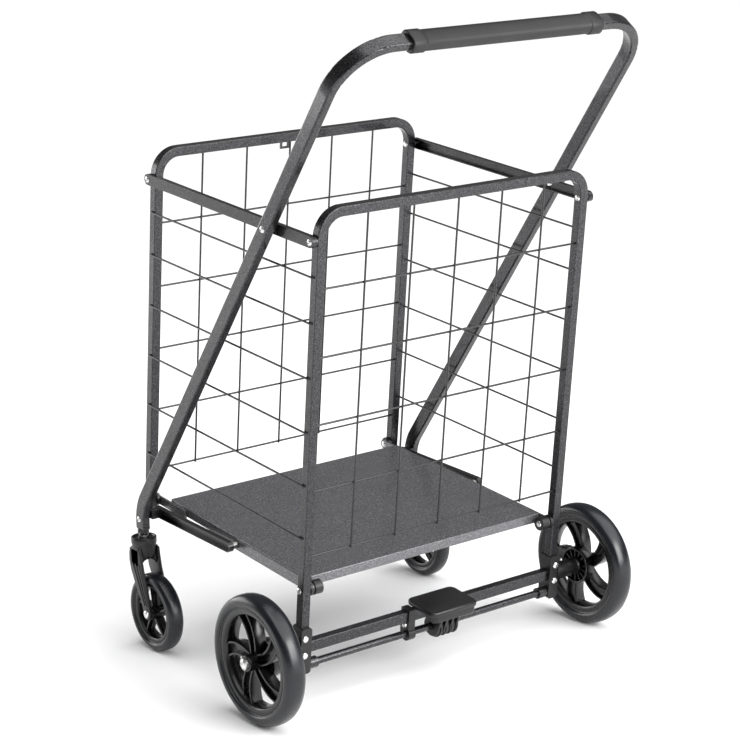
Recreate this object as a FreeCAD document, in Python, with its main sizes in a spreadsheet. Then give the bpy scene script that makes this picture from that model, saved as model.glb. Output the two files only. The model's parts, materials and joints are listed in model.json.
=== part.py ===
import FreeCAD, Part

import math
import os

import Sketcher

Vector = FreeCAD.Vector
Rotation = FreeCAD.Rotation
Placement = FreeCAD.Placement

# Folding shopping trolley.
# +X runs to the right along the rear axle as seen by the person who pushes it,
# +Y runs from the rear wheels to the casters, +Z is up, and z = 0 is the floor.
# The origin lies on the floor under the middle of the whole trolley's outline.

doc = FreeCAD.newDocument("trolley")
sheet = doc.addObject("Spreadsheet::Sheet", "dims")

DIMENSIONS = [
    ("axle_back", 101.15, "rear axle behind the middle of the whole outline"),
    # basket frames
    ("lean", 7.5, "backward lean of the basket frames, degrees"),
    ("bar_rise", 6.0, "rise of the top bars and the deck towards the front, degrees"),
    ("panel_pitch", 400.0, "rear frame to front frame, pivot to pivot"),
    ("leg_centre", 235.0, "middle plane to the centre of a leg"),
    ("leg_tube", 14.2, "outer width of the square frame tube"),
    ("leg_round", 1.3, "outer corner radius of the frame tube"),
    ("leg_wall", 1.2, "wall of the frame tube"),
    ("frame_top", 636.0, "axle to the centre of the frame's top tube"),
    ("frame_bend", 33.0, "centreline radius of the frame's corners"),
    ("rear_foot", 22.0, "axle to the lower end of the rear legs"),
    ("front_foot", 76.0, "axle to the lower end of the front legs, in the rear frame"),
    # wire mesh
    ("wire", 3.0, "wire diameter"),
    ("wire_fit", 0.06, "radial clearance of a wire in its hole"),
    ("wire_bite", 3.2, "how far a wire's end reaches into a tube"),
    ("row_first", 530.0, "axle to the highest level wire"),
    ("row_pitch", 97.75, "spacing of the level wires"),
    ("column_pitch", 79.0, "spacing of the upright wires"),
    ("row_depth", -0.8, "level wires, from the frame's middle plane"),
    ("column_depth", -3.4, "upright wires, from the frame's middle plane"),
    ("side_top", 548.0, "axle to the highest side wire"),
    ("side_low", 169.0, "axle to the lowest side wire"),
    ("side_pitch", 78.6, "spacing of the lower side wires"),
    ("side_gap", 0.3, "leg face to side wire"),
    # top bars
    ("bar_pivot", 598.5, "axle to the pivot of the top bars"),
    ("bar_high", 16.0, "height of a top bar"),
    ("bar_deep", 8.0, "depth of a top bar's channel"),
    ("bar_sheet", 1.5, "sheet thickness of the channels"),
    ("bar_gap", 1.6, "leg to top bar, the washer's thickness"),
    ("handle_gap", 3.5, "top bar to handle tube, the washer's thickness"),
    ("handle_pivot", 84.9, "rear pivot to the handle's pivot along the top bar"),
    ("washer", 13.0, "outer diameter of a pivot washer"),
    ("bush", 10.5, "radius of the bushes at the deck's hinges"),
    ("bush_long", 13.0, "length of the rear bushes inside the deck's rails"),
    # rivets
    ("pin", 5.0, "shank diameter of a pivot rivet"),
    ("pin_fit", 0.06, "radial clearance of a rivet in its hole"),
    ("head", 10.0, "head diameter of a rivet"),
    ("head_high", 2.0, "height of a rivet head"),
    # handle
    ("handle_wide", 13.0, "outer width of the handle tube"),
    ("handle_deep", 22.0, "outer depth of the handle tube"),
    ("handle_round", 2.5, "outer corner radius of the handle tube"),
    ("handle_wall", 1.5, "wall of the handle tube"),
    ("handle_lean", 37.4, "lean of the handle's straight arms, degrees"),
    ("handle_reach", 318.0, "handle's pivot to the centre of its top bar"),
    ("handle_bend", 75.0, "centreline radius of the top corners"),
    ("knee_bend", 70.0, "centreline radius of the lower bends"),
    ("knee_height", 221.5, "floor to where the arm's line meets the swivel axis"),
    ("handle_foot", 189.0, "floor to the lower end of the handle tube"),
    ("grip_long", 330.0, "length of the hand grip"),
    ("grip_high", 23.0, "height of the hand grip"),
    ("grip_thick", 31.0, "thickness of the hand grip, front to back"),
    ("grip_band", 22.0, "length of the raised band at each end of the grip"),
    ("grip_step", 1.2, "step from the band to the grip's middle"),
    ("grip_fit", 0.1, "clearance of the grip round the tube"),
    ("cross_bolt", 204.5, "floor to the bolt across the handle's lower end"),
    # deck
    ("deck_pivot", 88.0, "axle to the deck's hinge"),
    ("deck_pivot_depth", 2.0, "deck's hinge, forward of the leg's middle"),
    ("deck_half", 220.0, "half the width of the deck"),
    ("deck_rear", 14.0, "hinge to the rear edge of the deck"),
    ("deck_front", 366.0, "hinge to the front edge of the deck"),
    ("deck_top", 10.0, "hinge to the deck's upper face"),
    ("deck_lip", 14.0, "height of the deck's folded edge"),
    ("deck_sheet", 1.2, "sheet thickness of the deck"),
    ("rail_high", 16.0, "height of the rails beside the deck"),
    ("rail_thick", 3.5, "thickness of the rails beside the deck"),
    ("knuckle_reach", 182.0, "deck's hinge to the brace's pivot"),
    ("knuckle_rise", 1.3, "brace's pivot above the line of the hinges"),
    # braces
    ("brace_high", 16.0, "height of a brace"),
    ("brace_deep", 8.4, "depth of a brace's channel"),
    ("brace_gap", 10.0, "deck's rail to the brace, the spacer's length"),
    ("brace_front_y", 366.0, "brace's front pivot, forward of the rear axle"),
    ("brace_front_z", 212.5, "brace's front pivot above the floor"),
    ("brace_clear", 0.3, "brace's front foot to the handle tube"),
    # rear wheels
    ("rear_tyre", 95.0, "rear tyre radius, also the axle's height"),
    ("rear_tyre_wide", 34.0, "rear tyre width"),
    ("rear_rim", 76.0, "rear rim radius under the tyre"),
    ("rear_rim_inner", 66.0, "rear rim's inner radius"),
    ("rear_rim_wide", 27.0, "rear rim width"),
    ("rear_hub", 15.0, "rear hub radius"),
    ("rear_hub_wide", 46.0, "rear hub width"),
    ("rear_web", 9.0, "thickness of the rear spokes"),
    ("wheel_out", 73.0, "leg's middle to the middle of a rear wheel"),
    ("rear_axle", 5.0, "rear axle bolt radius"),
    ("axle_fit", 0.08, "radial clearance of a hub on its axle"),
    ("axle_gap", 0.5, "end gap of a hub on its axle"),
    ("clamp_wide", 12.0, "width of the clamp that carries the brake rod"),
    ("clamp_wall", 3.0, "wall of that clamp round the crossbar"),
    ("clamp_bolt", 2.4, "shank radius of the clamp's bolt"),
    ("clamp_bolt_up", 13.4, "brake rod to that bolt"),
    ("spokes", 5, "number of spokes"),
    # wheel brackets and crossbar
    ("bracket_wide", 18.0, "width of a wheel bracket"),
    ("bracket_deep", 23.0, "depth of a wheel bracket"),
    ("bracket_low", -38.0, "axle to the lower end of a wheel bracket"),
    ("bracket_top", 33.0, "axle to the upper end of a wheel bracket"),
    ("boss", 13.0, "radius of the bracket's boss"),
    ("crossbar_tube", 13.0, "outer depth of the crossbar"),
    ("crossbar_high", 17.0, "outer height of the crossbar"),
    # brake
    ("rod_drop", -28.0, "axle to the brake rod"),
    ("rod_depth", -2.0, "brake rod, forward of the leg's middle"),
    ("rod", 5.5, "brake rod radius"),
    ("rod_fit", 0.08, "radial clearance of the brake rod in its bearings"),
    ("pedal_half", 44.0, "half the width of the brake pedal"),
    ("pedal_rear", -56.0, "rear edge of the pedal, forward of the brake rod"),
    ("pedal_front", 9.0, "front edge of the pedal, forward of the brake rod"),
    ("pedal_low", 41.0, "brake rod to the underside of the pedal"),
    ("pedal_thick", 12.0, "thickness of the brake pedal"),
    ("drum", 18.5, "radius of the ribbed brake drum"),
    ("drum_left", 0.0, "left end of the ribbed drum"),
    ("drum_right", 40.0, "right end of the ribbed drum"),
    # casters
    ("caster_tyre", 61.0, "caster tyre radius"),
    ("caster_tyre_wide", 26.0, "caster tyre width"),
    ("caster_rim", 47.0, "caster rim radius under the tyre"),
    ("caster_rim_inner", 39.5, "caster rim's inner radius"),
    ("caster_rim_wide", 20.0, "caster rim width"),
    ("caster_hub", 10.0, "caster hub radius"),
    ("caster_hub_wide", 26.0, "caster hub width"),
    ("caster_web", 6.0, "thickness of the caster spokes"),
    ("caster_axle", 4.0, "caster axle radius"),
    ("caster_trail", 26.0, "swivel axis to the caster's axle"),
    ("fork_arm", 5.0, "thickness of a fork arm"),
    ("fork_gap", 0.6, "hub to fork arm"),
    ("crown", 19.5, "fork crown radius"),
    ("crown_top", 177.0, "floor to the top of the fork crown"),
    ("crown_high", 15.0, "height of the fork crown's ring"),
    ("stem", 5.0, "caster stem radius"),
    ("stem_neck", 3.4, "radius of the stem inside the collar"),
    ("stem_fit", 0.08, "radial clearance of the stem in the crown"),
    ("stem_long", 34.0, "length of the stem inside the crown"),
    ("collar", 9.0, "radius of the collar above the crown"),
]

for line, (alias, number, note) in enumerate(DIMENSIONS, 1):
    sheet.set(f"A{line}", note)
    sheet.set(f"B{line}", str(number))
    sheet.setAlias(f"B{line}", alias)
doc.recompute()


def expression(text):
    """Turn words of the sheet into references to it."""
    out = []
    word = ""
    for sign in text + " ":
        if sign.isalnum() or sign == "_":
            word += sign
            continue
        if word and word in ALIASES:
            word = "dims." + word
        out.append(word + sign)
        word = ""
    return "".join(out).strip()


ALIASES = {alias for alias, number, note in DIMENSIONS}
NODES = {}


def value(text):
    """The number that an expression over the sheet has now."""
    if isinstance(text, (int, float)):
        return float(text)
    return float(sheet.evalExpression(expression(text)))


def bind(item, prop, text):
    """Bind a property to an expression over the sheet, or set a plain number."""
    if isinstance(text, (int, float)):
        if "." not in prop:
            setattr(item, prop, text)
        else:
            item.setExpression(prop, str(text))
    else:
        item.setExpression(prop, expression(text))


def keep(label, item, place=None):
    """Register a finished sub-part under its node name."""
    item.Label = label
    if place is not None:
        item.Placement = place
    NODES[label] = item
    return item


# --- primitives and booleans -------------------------------------------------

TURNS = {
    "Z": Rotation(),
    "X": Rotation(Vector(0, 1, 0), 90),
    "Y": Rotation(Vector(1, 0, 0), -90),
}


def locate(item, at):
    for axis, text in zip("xyz", at):
        item.setExpression(f"Placement.Base.{axis}", expression(str(text)))


def box(label, long_x, long_y, long_z, at):
    """A box given by its size and its low corner."""
    item = doc.addObject("Part::Box", label)
    for prop, text in (("Length", long_x), ("Width", long_y), ("Height", long_z)):
        bind(item, prop, text)
    locate(item, at)
    return item


def rod(label, radius, length, at, axis="X"):
    """A cylinder that starts at a point and runs along an axis."""
    item = doc.addObject("Part::Cylinder", label)
    item.Placement = Placement(Vector(), TURNS[axis])
    bind(item, "Radius", radius)
    bind(item, "Height", length)
    locate(item, at)
    return item


def fuse(label, items):
    item = doc.addObject("Part::MultiFuse", label)
    item.Shapes = items
    return item


def cut(label, base, tools):
    item = doc.addObject("Part::Cut", label)
    item.Base = base
    item.Tool = tools[0] if len(tools) == 1 else fuse(label + "_tools", tools)
    return item


def group(label, items):
    """Several separate solids kept as one node."""
    item = doc.addObject("Part::Compound", label)
    item.Links = items
    return item


def mirrored(label, source):
    """The piece reflected through the trolley's middle plane."""
    item = doc.addObject("Part::Mirroring", label)
    item.Source = source
    item.Base = Vector(0, 0, 0)
    item.Normal = Vector(1, 0, 0)
    return item


def rounded(label, base, radius, choose):
    """Round the edges of a piece that a test picks out."""
    doc.recompute()
    item = doc.addObject("Part::Fillet", label)
    item.Base = base
    amount = value(radius)
    picked = [number for number, edge in enumerate(base.Shape.Edges, 1) if choose(edge)]
    item.Edges = [(number, amount, amount) for number in picked]
    return item


def along(axis):
    """A test for straight edges that run along an axis."""
    way = {"X": Vector(1, 0, 0), "Y": Vector(0, 1, 0), "Z": Vector(0, 0, 1)}[axis]

    def test(edge):
        if edge.Curve.TypeId != "Part::GeomLine":
            return False
        return abs(edge.tangentAt(edge.FirstParameter).dot(way)) > 0.999

    return test


# --- sketched features -------------------------------------------------------


def new_body(label):
    return doc.addObject("PartDesign::Body", label)


def new_sketch(body, name, plane, offset=0):
    sketch = body.newObject("Sketcher::SketchObject", name)
    plane_item = [o for o in body.Origin.OriginFeatures if o.Role == plane][0]
    sketch.AttachmentSupport = (plane_item, "")
    sketch.MapMode = "FlatFace"
    sketch.setExpression("AttachmentOffset.Base.z", expression(str(offset)))
    return sketch


def pin_point(sketch, geometry, end, across, upward):
    """Fix one point of a sketch to two expressions, counted from the origin."""
    for kind, text in (("DistanceX", across), ("DistanceY", upward)):
        number = sketch.addConstraint(Sketcher.Constraint(kind, -1, 1, geometry, end, value(text)))
        if not isinstance(text, (int, float)):
            sketch.setExpression(f"Constraints[{number}]", expression(text))


def outline(body, name, plane, points, offset=0):
    """A closed polygon whose corners follow the sheet."""
    sketch = new_sketch(body, name, plane, offset)
    spots = [Vector(value(a), value(b), 0) for a, b in points]
    add_loop(sketch, spots, points)
    return sketch


def add_loop(sketch, spots, points):
    lines = []
    for here, there in zip(spots, spots[1:] + spots[:1]):
        lines.append(sketch.addGeometry(Part.LineSegment(here, there), False))
    for line, following in zip(lines, lines[1:] + lines[:1]):
        sketch.addConstraint(Sketcher.Constraint("Coincident", line, 2, following, 1))
    for line, (across, upward) in zip(lines, points):
        pin_point(sketch, line, 1, across, upward)


def pad(body, sketch, length, symmetric=False, back=False):
    item = body.newObject("PartDesign::Pad", sketch.Name + "_pad")
    item.Profile = sketch
    bind(item, "Length", length)
    if symmetric:
        item.Midplane = True
    item.Reversed = back
    return item


def pocket(body, sketch, length, symmetric=False, back=False):
    item = body.newObject("PartDesign::Pocket", sketch.Name + "_pocket")
    item.Profile = sketch
    bind(item, "Length", length)
    if symmetric:
        item.Midplane = True
    item.Reversed = back
    return item


def turned(label, points):
    """A solid of revolution about X, from its half section in (x, radius)."""
    body = new_body(label)
    sketch = outline(body, label + "_section", "XY_Plane", points)
    item = body.newObject("PartDesign::Revolution", label + "_turn")
    item.Profile = sketch
    item.ReferenceAxis = (sketch, ["H_Axis"])
    item.Angle = 360
    return body


def round_body(body, name, radius, choose):
    """A PartDesign fillet on the picked edges of the body's tip."""
    doc.recompute()
    tip = body.Tip
    picked = [f"Edge{n}" for n, edge in enumerate(tip.Shape.Edges, 1) if choose(edge)]
    item = body.newObject("PartDesign::Fillet", name)
    item.Base = (tip, picked)
    bind(item, "Radius", radius)
    return item


def frame_spine(body, name, foot, radius_text):
    """Half-open U path: up one leg, round two corners, down the other."""
    sketch = new_sketch(body, name, "XZ_Plane")
    side = value("leg_centre")
    low = value(foot)
    top = value("frame_top")
    bend = value(radius_text)
    left = sketch.addGeometry(Part.LineSegment(Vector(-side, low, 0), Vector(-side, top - bend, 0)), False)
    first = sketch.addGeometry(
        Part.ArcOfCircle(
            Part.Circle(Vector(-side + bend, top - bend, 0), Vector(0, 0, 1), bend), math.pi / 2, math.pi
        ),
        False,
    )
    level = sketch.addGeometry(Part.LineSegment(Vector(-side + bend, top, 0), Vector(side - bend, top, 0)), False)
    second = sketch.addGeometry(
        Part.ArcOfCircle(Part.Circle(Vector(side - bend, top - bend, 0), Vector(0, 0, 1), bend), 0, math.pi / 2),
        False,
    )
    right = sketch.addGeometry(Part.LineSegment(Vector(side, top - bend, 0), Vector(side, low, 0)), False)
    sketch.addConstraint(Sketcher.Constraint("Tangent", left, 2, first, 2))
    sketch.addConstraint(Sketcher.Constraint("Tangent", first, 1, level, 1))
    sketch.addConstraint(Sketcher.Constraint("Tangent", level, 2, second, 2))
    sketch.addConstraint(Sketcher.Constraint("Tangent", second, 1, right, 1))
    sketch.addConstraint(Sketcher.Constraint("Vertical", left))
    sketch.addConstraint(Sketcher.Constraint("Horizontal", level))
    sketch.addConstraint(Sketcher.Constraint("Vertical", right))
    sketch.addConstraint(Sketcher.Constraint("Equal", first, second))
    mark = sketch.addConstraint(Sketcher.Constraint("Radius", first, bend))
    sketch.setExpression(f"Constraints[{mark}]", expression(radius_text))
    pin_point(sketch, left, 1, "-leg_centre", foot)
    pin_point(sketch, right, 2, "leg_centre", foot)
    mark = sketch.addConstraint(Sketcher.Constraint("DistanceY", -1, 1, level, 1, top))
    sketch.setExpression(f"Constraints[{mark}]", expression("frame_top"))
    return sketch


def square_section(body, name, half, foot):
    """Square across the left leg, at its lower end."""
    corners = [
        (f"-leg_centre - ({half})", f"-({half})"),
        (f"-leg_centre + ({half})", f"-({half})"),
        (f"-leg_centre + ({half})", half),
        (f"-leg_centre - ({half})", half),
    ]
    return outline(body, name, "XY_Plane", corners, foot)


def side_level(number):
    """Level of one pair of side wires, counted from the top."""
    return f"side_low + {5 - number}*side_pitch" if number else "side_top"


def frame_tube(label, foot, pivot_height, pivot_depth):
    """Bent square tube of a basket frame, hollow, with its holes drilled."""
    body = new_body(label + "_bent")
    for step, kind, half in (
        ("outer", "PartDesign::AdditivePipe", "leg_tube/2"),
        ("bore", "PartDesign::SubtractivePipe", "leg_tube/2 - leg_wall"),
    ):
        section = square_section(body, f"{label}_{step}_section", half, foot)
        spine = frame_spine(body, f"{label}_{step}_spine", foot, "frame_bend")
        doc.recompute()
        item = body.newObject(kind, f"{label}_{step}")
        item.Profile = section
        item.Spine = spine
        doc.recompute()
        if step == "outer":
            round_body(body, f"{label}_edges", "leg_round", lambda e: e.Length > 1.3 * value("leg_tube"))
            doc.recompute()
    holes = []
    for number in range(5):
        level = f"row_first - {number}*row_pitch"
        holes.append(
            rod(
                f"{label}_row_hole_{number}",
                "wire/2 + wire_fit",
                "2*(leg_centre - leg_tube/2 + leg_wall + 0.5)",
                ("-(leg_centre - leg_tube/2 + leg_wall + 0.5)", "row_depth", level),
            )
        )
        holes.append(
            rod(
                f"{label}_column_hole_{number}",
                "wire/2 + wire_fit",
                "leg_tube/2 + 4",
                (f"({number} - 2)*column_pitch", "column_depth", "frame_top - leg_tube/2 - 4 - wire"),
                "Z",
            )
        )
    for side in ("-", ""):
        start = "-leg_centre - leg_tube" if side else "leg_centre + leg_tube/2 - leg_wall - 0.5"
        run = "leg_tube/2 + leg_wall + 0.5"
        for number in range(6):
            holes.append(
                rod(
                    f"{label}_side_hole_{number}{'_left' if side else '_right'}",
                    "wire/2 + wire_fit",
                    run,
                    (start, "0", side_level(number)),
                )
            )
        for name, depth, level in (("bar", "0", "bar_pivot"), ("hinge", pivot_depth, pivot_height)):
            holes.append(
                rod(
                    f"{label}_{name}_hole{'_left' if side else '_right'}",
                    "pin/2",
                    "2*leg_tube",
                    (f"{side}leg_centre - leg_tube", depth, level),
                )
            )
    return cut(label, body, holes)


def mesh(label):
    """Level and upright wires welded where they cross."""
    wires = []
    half = "(leg_centre - leg_tube/2 + wire_bite)"
    for number in range(5):
        wires.append(
            rod(
                f"{label}_row_{number}",
                "wire/2",
                f"2*{half}",
                (f"-{half}", "row_depth", f"row_first - {number}*row_pitch"),
            )
        )
        wires.append(
            rod(
                f"{label}_column_{number}",
                "wire/2",
                "frame_top - leg_tube/2 + wire_bite - (row_first - 4*row_pitch - wire/2)",
                (f"({number} - 2)*column_pitch", "column_depth", "row_first - 4*row_pitch - wire/2"),
                "Z",
            )
        )
    return fuse(label, wires)


def rivet_pair(label, inner, outer, depth, level, place):
    """Two rivets, left and right, from an inner face to an outer face.

    The shank runs from x = inner to x = outer, with a domed head at each end.
    """
    dent = "head_high*0.45"
    body = turned(
        label + "_one",
        [
            (f"{inner} - head_high", "0"),
            (f"{outer} + head_high - {dent}", "0"),
            (f"{outer} + head_high - {dent}", "head*0.14"),
            (f"{outer} + head_high", "head*0.22"),
            (f"{outer} + head_high*0.55", "head*0.42"),
            (outer, "head/2"),
            (outer, "pin/2"),
            (inner, "pin/2"),
            (inner, "head/2"),
            (f"{inner} - head_high*0.55", "head*0.42"),
            (f"{inner} - head_high", "head*0.25"),
        ],
    )
    locate(body, ("0", depth, level))
    return keep(label, group(label, [body, mirrored(label + "_other", body)]), place)


def ring_pair(label, inner, thick, radius, bore, depth, level, place, more=()):
    """Two washers or bushes, left and right; more lists further rings on the same axis."""
    rings = []
    for number, (start, run) in enumerate([(inner, thick), *more]):
        ring = cut(
            f"{label}_ring_{number}",
            rod(f"{label}_disc_{number}", radius, run, (start, depth, level)),
            [rod(f"{label}_bore_{number}", bore, f"{run} + 2", (f"{start} - 1", depth, level))],
        )
        rings += [ring, mirrored(f"{label}_other_{number}", ring)]
    return keep(label, group(label, rings), place)


# --- where the frames lie ----------------------------------------------------

lean = math.radians(value("lean"))
rise = math.radians(value("bar_rise"))
ACROSS = Vector(1, 0, 0)
AXLE = Vector(0, -value("axle_back"), value("rear_tyre"))


def in_rear(depth, level):
    """World point of a point of the rear frame."""
    return AXLE + Vector(
        0,
        depth * math.cos(lean) - level * math.sin(lean),
        depth * math.sin(lean) + level * math.cos(lean),
    )


def along_bar(distance, above=0.0):
    return Vector(
        0,
        distance * math.cos(rise) - above * math.sin(rise),
        distance * math.sin(rise) + above * math.cos(rise),
    )


REAR = Placement(AXLE, Rotation(ACROSS, value("lean")))
FRONT = Placement(AXLE + along_bar(value("panel_pitch")), Rotation(ACROSS, value("lean")))
BAR_PIVOT = in_rear(0, value("bar_pivot"))
BARS = Placement(BAR_PIVOT, Rotation(ACROSS, value("bar_rise")))
HINGE = in_rear(value("deck_pivot_depth"), value("deck_pivot"))
DECK = Placement(HINGE, Rotation(ACROSS, value("bar_rise")))
HANDLE_PIVOT = BAR_PIVOT + along_bar(value("handle_pivot"))
KNUCKLE = HINGE + along_bar(value("knuckle_reach"), value("knuckle_rise"))
BRACE_FRONT = Vector(0, AXLE.y + value("brace_front_y"), value("brace_front_z"))

# --- basket frames -----------------------------------------------------------

LEG_IN = "leg_centre - leg_tube/2"
LEG_OUT = "leg_centre + leg_tube/2"
WHEEL_X = "leg_centre + wheel_out"
BAR_IN = f"{LEG_OUT} + bar_gap"
BAR_OUT = f"{BAR_IN} + bar_deep"
HANDLE_IN = f"{BAR_OUT} + handle_gap"
HANDLE_OUT = f"{HANDLE_IN} + handle_wide"

keep("rear_frame_tube", frame_tube("rear_frame_tube", "rear_foot", "deck_pivot", "deck_pivot_depth"), REAR)
keep("rear_mesh", mesh("rear_mesh"), REAR)
keep("front_frame_tube", frame_tube("front_frame_tube", "front_foot", "deck_pivot", "deck_pivot_depth"), FRONT)
keep("front_mesh", mesh("front_mesh"), FRONT)


def side_wire(number):
    """One pair of side wires, hooked into the legs at both ends."""
    centre = value(f"{LEG_OUT} + side_gap + wire/2")
    inner = value(f"{LEG_OUT} - wire_bite")
    bend = value("wire/2 + side_gap")
    start = in_rear(0, value(side_level(number)))
    reach = along_bar(value("panel_pitch"))
    way = Vector(reach).normalize()
    side = Vector(1, 0, 0)
    path = []
    here = start + side * inner
    corner = start + side * centre
    far = start + reach + side * centre
    last = start + reach + side * inner
    path.append(Part.LineSegment(here, corner - side * bend))
    middle = corner + (way - side) * bend * (1 - math.sqrt(0.5))
    path.append(Part.Arc(corner - side * bend, middle, corner + way * bend))
    path.append(Part.LineSegment(corner + way * bend, far - way * bend))
    middle = far - (way + side) * bend * (1 - math.sqrt(0.5))
    path.append(Part.Arc(far - way * bend, middle, far - side * bend))
    path.append(Part.LineSegment(far - side * bend, last))
    spine = Part.Wire([piece.toShape() for piece in path])
    ring = Part.Wire(Part.Circle(here, side, value("wire") / 2).toShape())
    wire = spine.makePipeShell([ring], True, True)
    name = f"side_wires_{number + 1}"
    item = doc.addObject("Part::Feature", name)
    item.Shape = Part.makeCompound([wire, wire.mirror(Vector(0, 0, 0), ACROSS)])
    return keep(name, item)


for number in range(6):
    side_wire(number)

# --- top bars ----------------------------------------------------------------


def channel(label, start, end, high, web_in, web_out, open_out, depth_from, depth_to):
    """Folded channel with round ends, lying along local Y at x = depth_from to depth_to.

    Its end pivots are start and end along Y. The web is one sheet thick,
    from web_in to web_out, and the lips run over the whole depth.
    """
    def slot(name, radius, x_from, x_long):
        parts = [
            rod(f"{name}_end_1", radius, x_long, (x_from, start, "0")),
            rod(f"{name}_end_2", radius, x_long, (x_from, end, "0")),
            box(f"{name}_mid", x_long, f"{end} - ({start})", f"2*({radius})", (x_from, start, f"-({radius})")),
        ]
        return fuse(name, parts)

    outer = slot(label + "_outer", f"{high}/2", depth_from, f"({depth_to}) - ({depth_from})")
    inner_from = web_out if open_out else f"({depth_from}) - 1"
    inner_long = f"({depth_to}) - ({web_out}) + 1" if open_out else f"({web_in}) - ({depth_from}) + 1"
    inner = slot(label + "_inner", f"{high}/2 - bar_sheet", inner_from, inner_long)
    return outer, inner


def top_bar():
    web_in = f"{BAR_OUT} - bar_sheet"
    outer, inner = channel("top_bar", "0", "panel_pitch", "bar_high", web_in, BAR_OUT, False, BAR_IN, BAR_OUT)
    holes = [inner]
    for name, spot in (("rear", "0"), ("front", "panel_pitch"), ("handle", "handle_pivot")):
        holes.append(rod(f"top_bar_{name}_hole", "pin/2 + pin_fit", "3*bar_deep", (f"{LEG_OUT}", spot, "0")))
    return cut("top_bar_piece", outer, holes)


bar = top_bar()
keep("top_bar_right", bar, BARS)
keep("top_bar_left", mirrored("top_bar_left", bar))

ring_pair("bar_washers_rear", LEG_OUT, "bar_gap", "washer/2", "pin/2", "0", "bar_pivot", REAR)
ring_pair("bar_washers_front", LEG_OUT, "bar_gap", "washer/2", "pin/2", "0", "bar_pivot", FRONT)
ring_pair(
    "handle_washers", BAR_OUT, "handle_gap", "washer/2", "pin/2 + pin_fit", "0", "0",
    Placement(HANDLE_PIVOT, Rotation()),
)
rivet_pair("bar_rivets_rear", LEG_IN, BAR_OUT, "0", "bar_pivot", REAR)
rivet_pair("bar_rivets_front", LEG_IN, BAR_OUT, "0", "bar_pivot", FRONT)

# --- deck --------------------------------------------------------------------


def deck_plate():
    body = new_body("deck_sheet_body")
    plan = outline(
        body,
        "deck_plan",
        "XY_Plane",
        [
            ("-deck_half", "deck_rear"),
            ("deck_half", "deck_rear"),
            ("deck_half", "deck_front"),
            ("-deck_half", "deck_front"),
        ],
        "deck_top",
    )
    pad(body, plan, "deck_lip", back=True)
    round_body(body, "deck_corners", "2*deck_sheet", lambda e: along("Z")(e))
    top = value("deck_top") - 1e-6
    round_body(body, "deck_fold", "1.2*deck_sheet", lambda e: e.BoundBox.ZMin >= top)
    hollow = outline(
        body,
        "deck_hollow",
        "XY_Plane",
        [
            ("-deck_half + deck_sheet", "deck_rear + deck_sheet"),
            ("deck_half - deck_sheet", "deck_rear + deck_sheet"),
            ("deck_half - deck_sheet", "deck_front - deck_sheet"),
            ("-deck_half + deck_sheet", "deck_front - deck_sheet"),
        ],
        "deck_top - deck_lip",
    )
    pocket(body, hollow, "deck_lip - deck_sheet", back=True)
    hole = rod("deck_brace_hole", "pin/2", "2*deck_half + 2", ("-deck_half - 1", "knuckle_reach", "knuckle_rise"))
    return cut("deck_piece", body, [hole])


keep("deck_plate", deck_plate(), DECK)


def deck_rail():
    """Flat bar beside the deck, from the rear hinge to the brace's pivot."""
    start = "deck_half"
    parts = [
        rod("rail_end_1", "rail_high/2", "rail_thick", (start, "0", "0")),
        rod("rail_end_2", "rail_high/2", "rail_thick", (start, "knuckle_reach", "knuckle_rise/2")),
        box("rail_mid", "rail_thick", "knuckle_reach", "rail_high", (start, "0", "-rail_high/2 + knuckle_rise/2")),
    ]
    holes = [
        rod("rail_hinge_hole", "pin/2 + pin_fit", "2*rail_thick", (f"{start} - 1", "0", "0")),
        rod("rail_brace_hole", "pin/2", "2*rail_thick", (f"{start} - 1", "knuckle_reach", "knuckle_rise")),
    ]
    return cut("rail_piece", fuse("rail_blank", parts), holes)


rail = deck_rail()
keep("deck_rail_right", rail, DECK)
keep("deck_rail_left", mirrored("deck_rail_left", rail))


def front_lug():
    """Lug from the deck's front corner to the hinge on the front leg."""
    start = "deck_half"
    parts = [
        rod("lug_end", "rail_high/2", "rail_thick", (start, "panel_pitch", "0")),
        box(
            "lug_mid",
            "rail_thick",
            "panel_pitch - deck_front + 45",
            "rail_high*0.8",
            (start, "deck_front - 45", "-rail_high/2 + 1"),
        ),
    ]
    hole = rod("lug_hole", "pin/2 + pin_fit", "2*rail_thick", (f"{start} - 1", "panel_pitch", "0"))
    return cut("lug_piece", fuse("lug_blank", parts), [hole])


lug = front_lug()
keep("deck_lug_right", lug, DECK)
keep("deck_lug_left", mirrored("deck_lug_left", lug))
RAIL_OUT = "deck_half + rail_thick"
rivet_pair("hinge_pins_rear", "deck_half - bush_long", LEG_OUT, "deck_pivot_depth", "deck_pivot", REAR)
rivet_pair("hinge_pins_front", "deck_half", LEG_OUT, "deck_pivot_depth", "deck_pivot", FRONT)
ring_pair(
    "hinge_bushes_rear", RAIL_OUT, f"{LEG_IN} - ({RAIL_OUT})", "bush", "pin/2",
    "deck_pivot_depth", "deck_pivot", REAR, [("deck_half - bush_long", "bush_long - 0.05")],
)
ring_pair(
    "hinge_bushes_front", RAIL_OUT, f"{LEG_IN} - ({RAIL_OUT})", "bush", "pin/2",
    "deck_pivot_depth", "deck_pivot", FRONT,
)

# --- braces from the deck's rails to the handle's lower end ------------------

BRACE_IN = f"{RAIL_OUT} + brace_gap"
BRACE_WEB = f"{BRACE_IN} + bar_sheet"
BRACE_OUT = f"{BRACE_IN} + brace_deep"
reach = BRACE_FRONT - KNUCKLE
brace_angle = math.degrees(math.atan2(reach.z, reach.y))
brace_long = math.hypot(reach.y, reach.z)
BRACE = Placement(KNUCKLE, Rotation(ACROSS, brace_angle))


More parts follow.
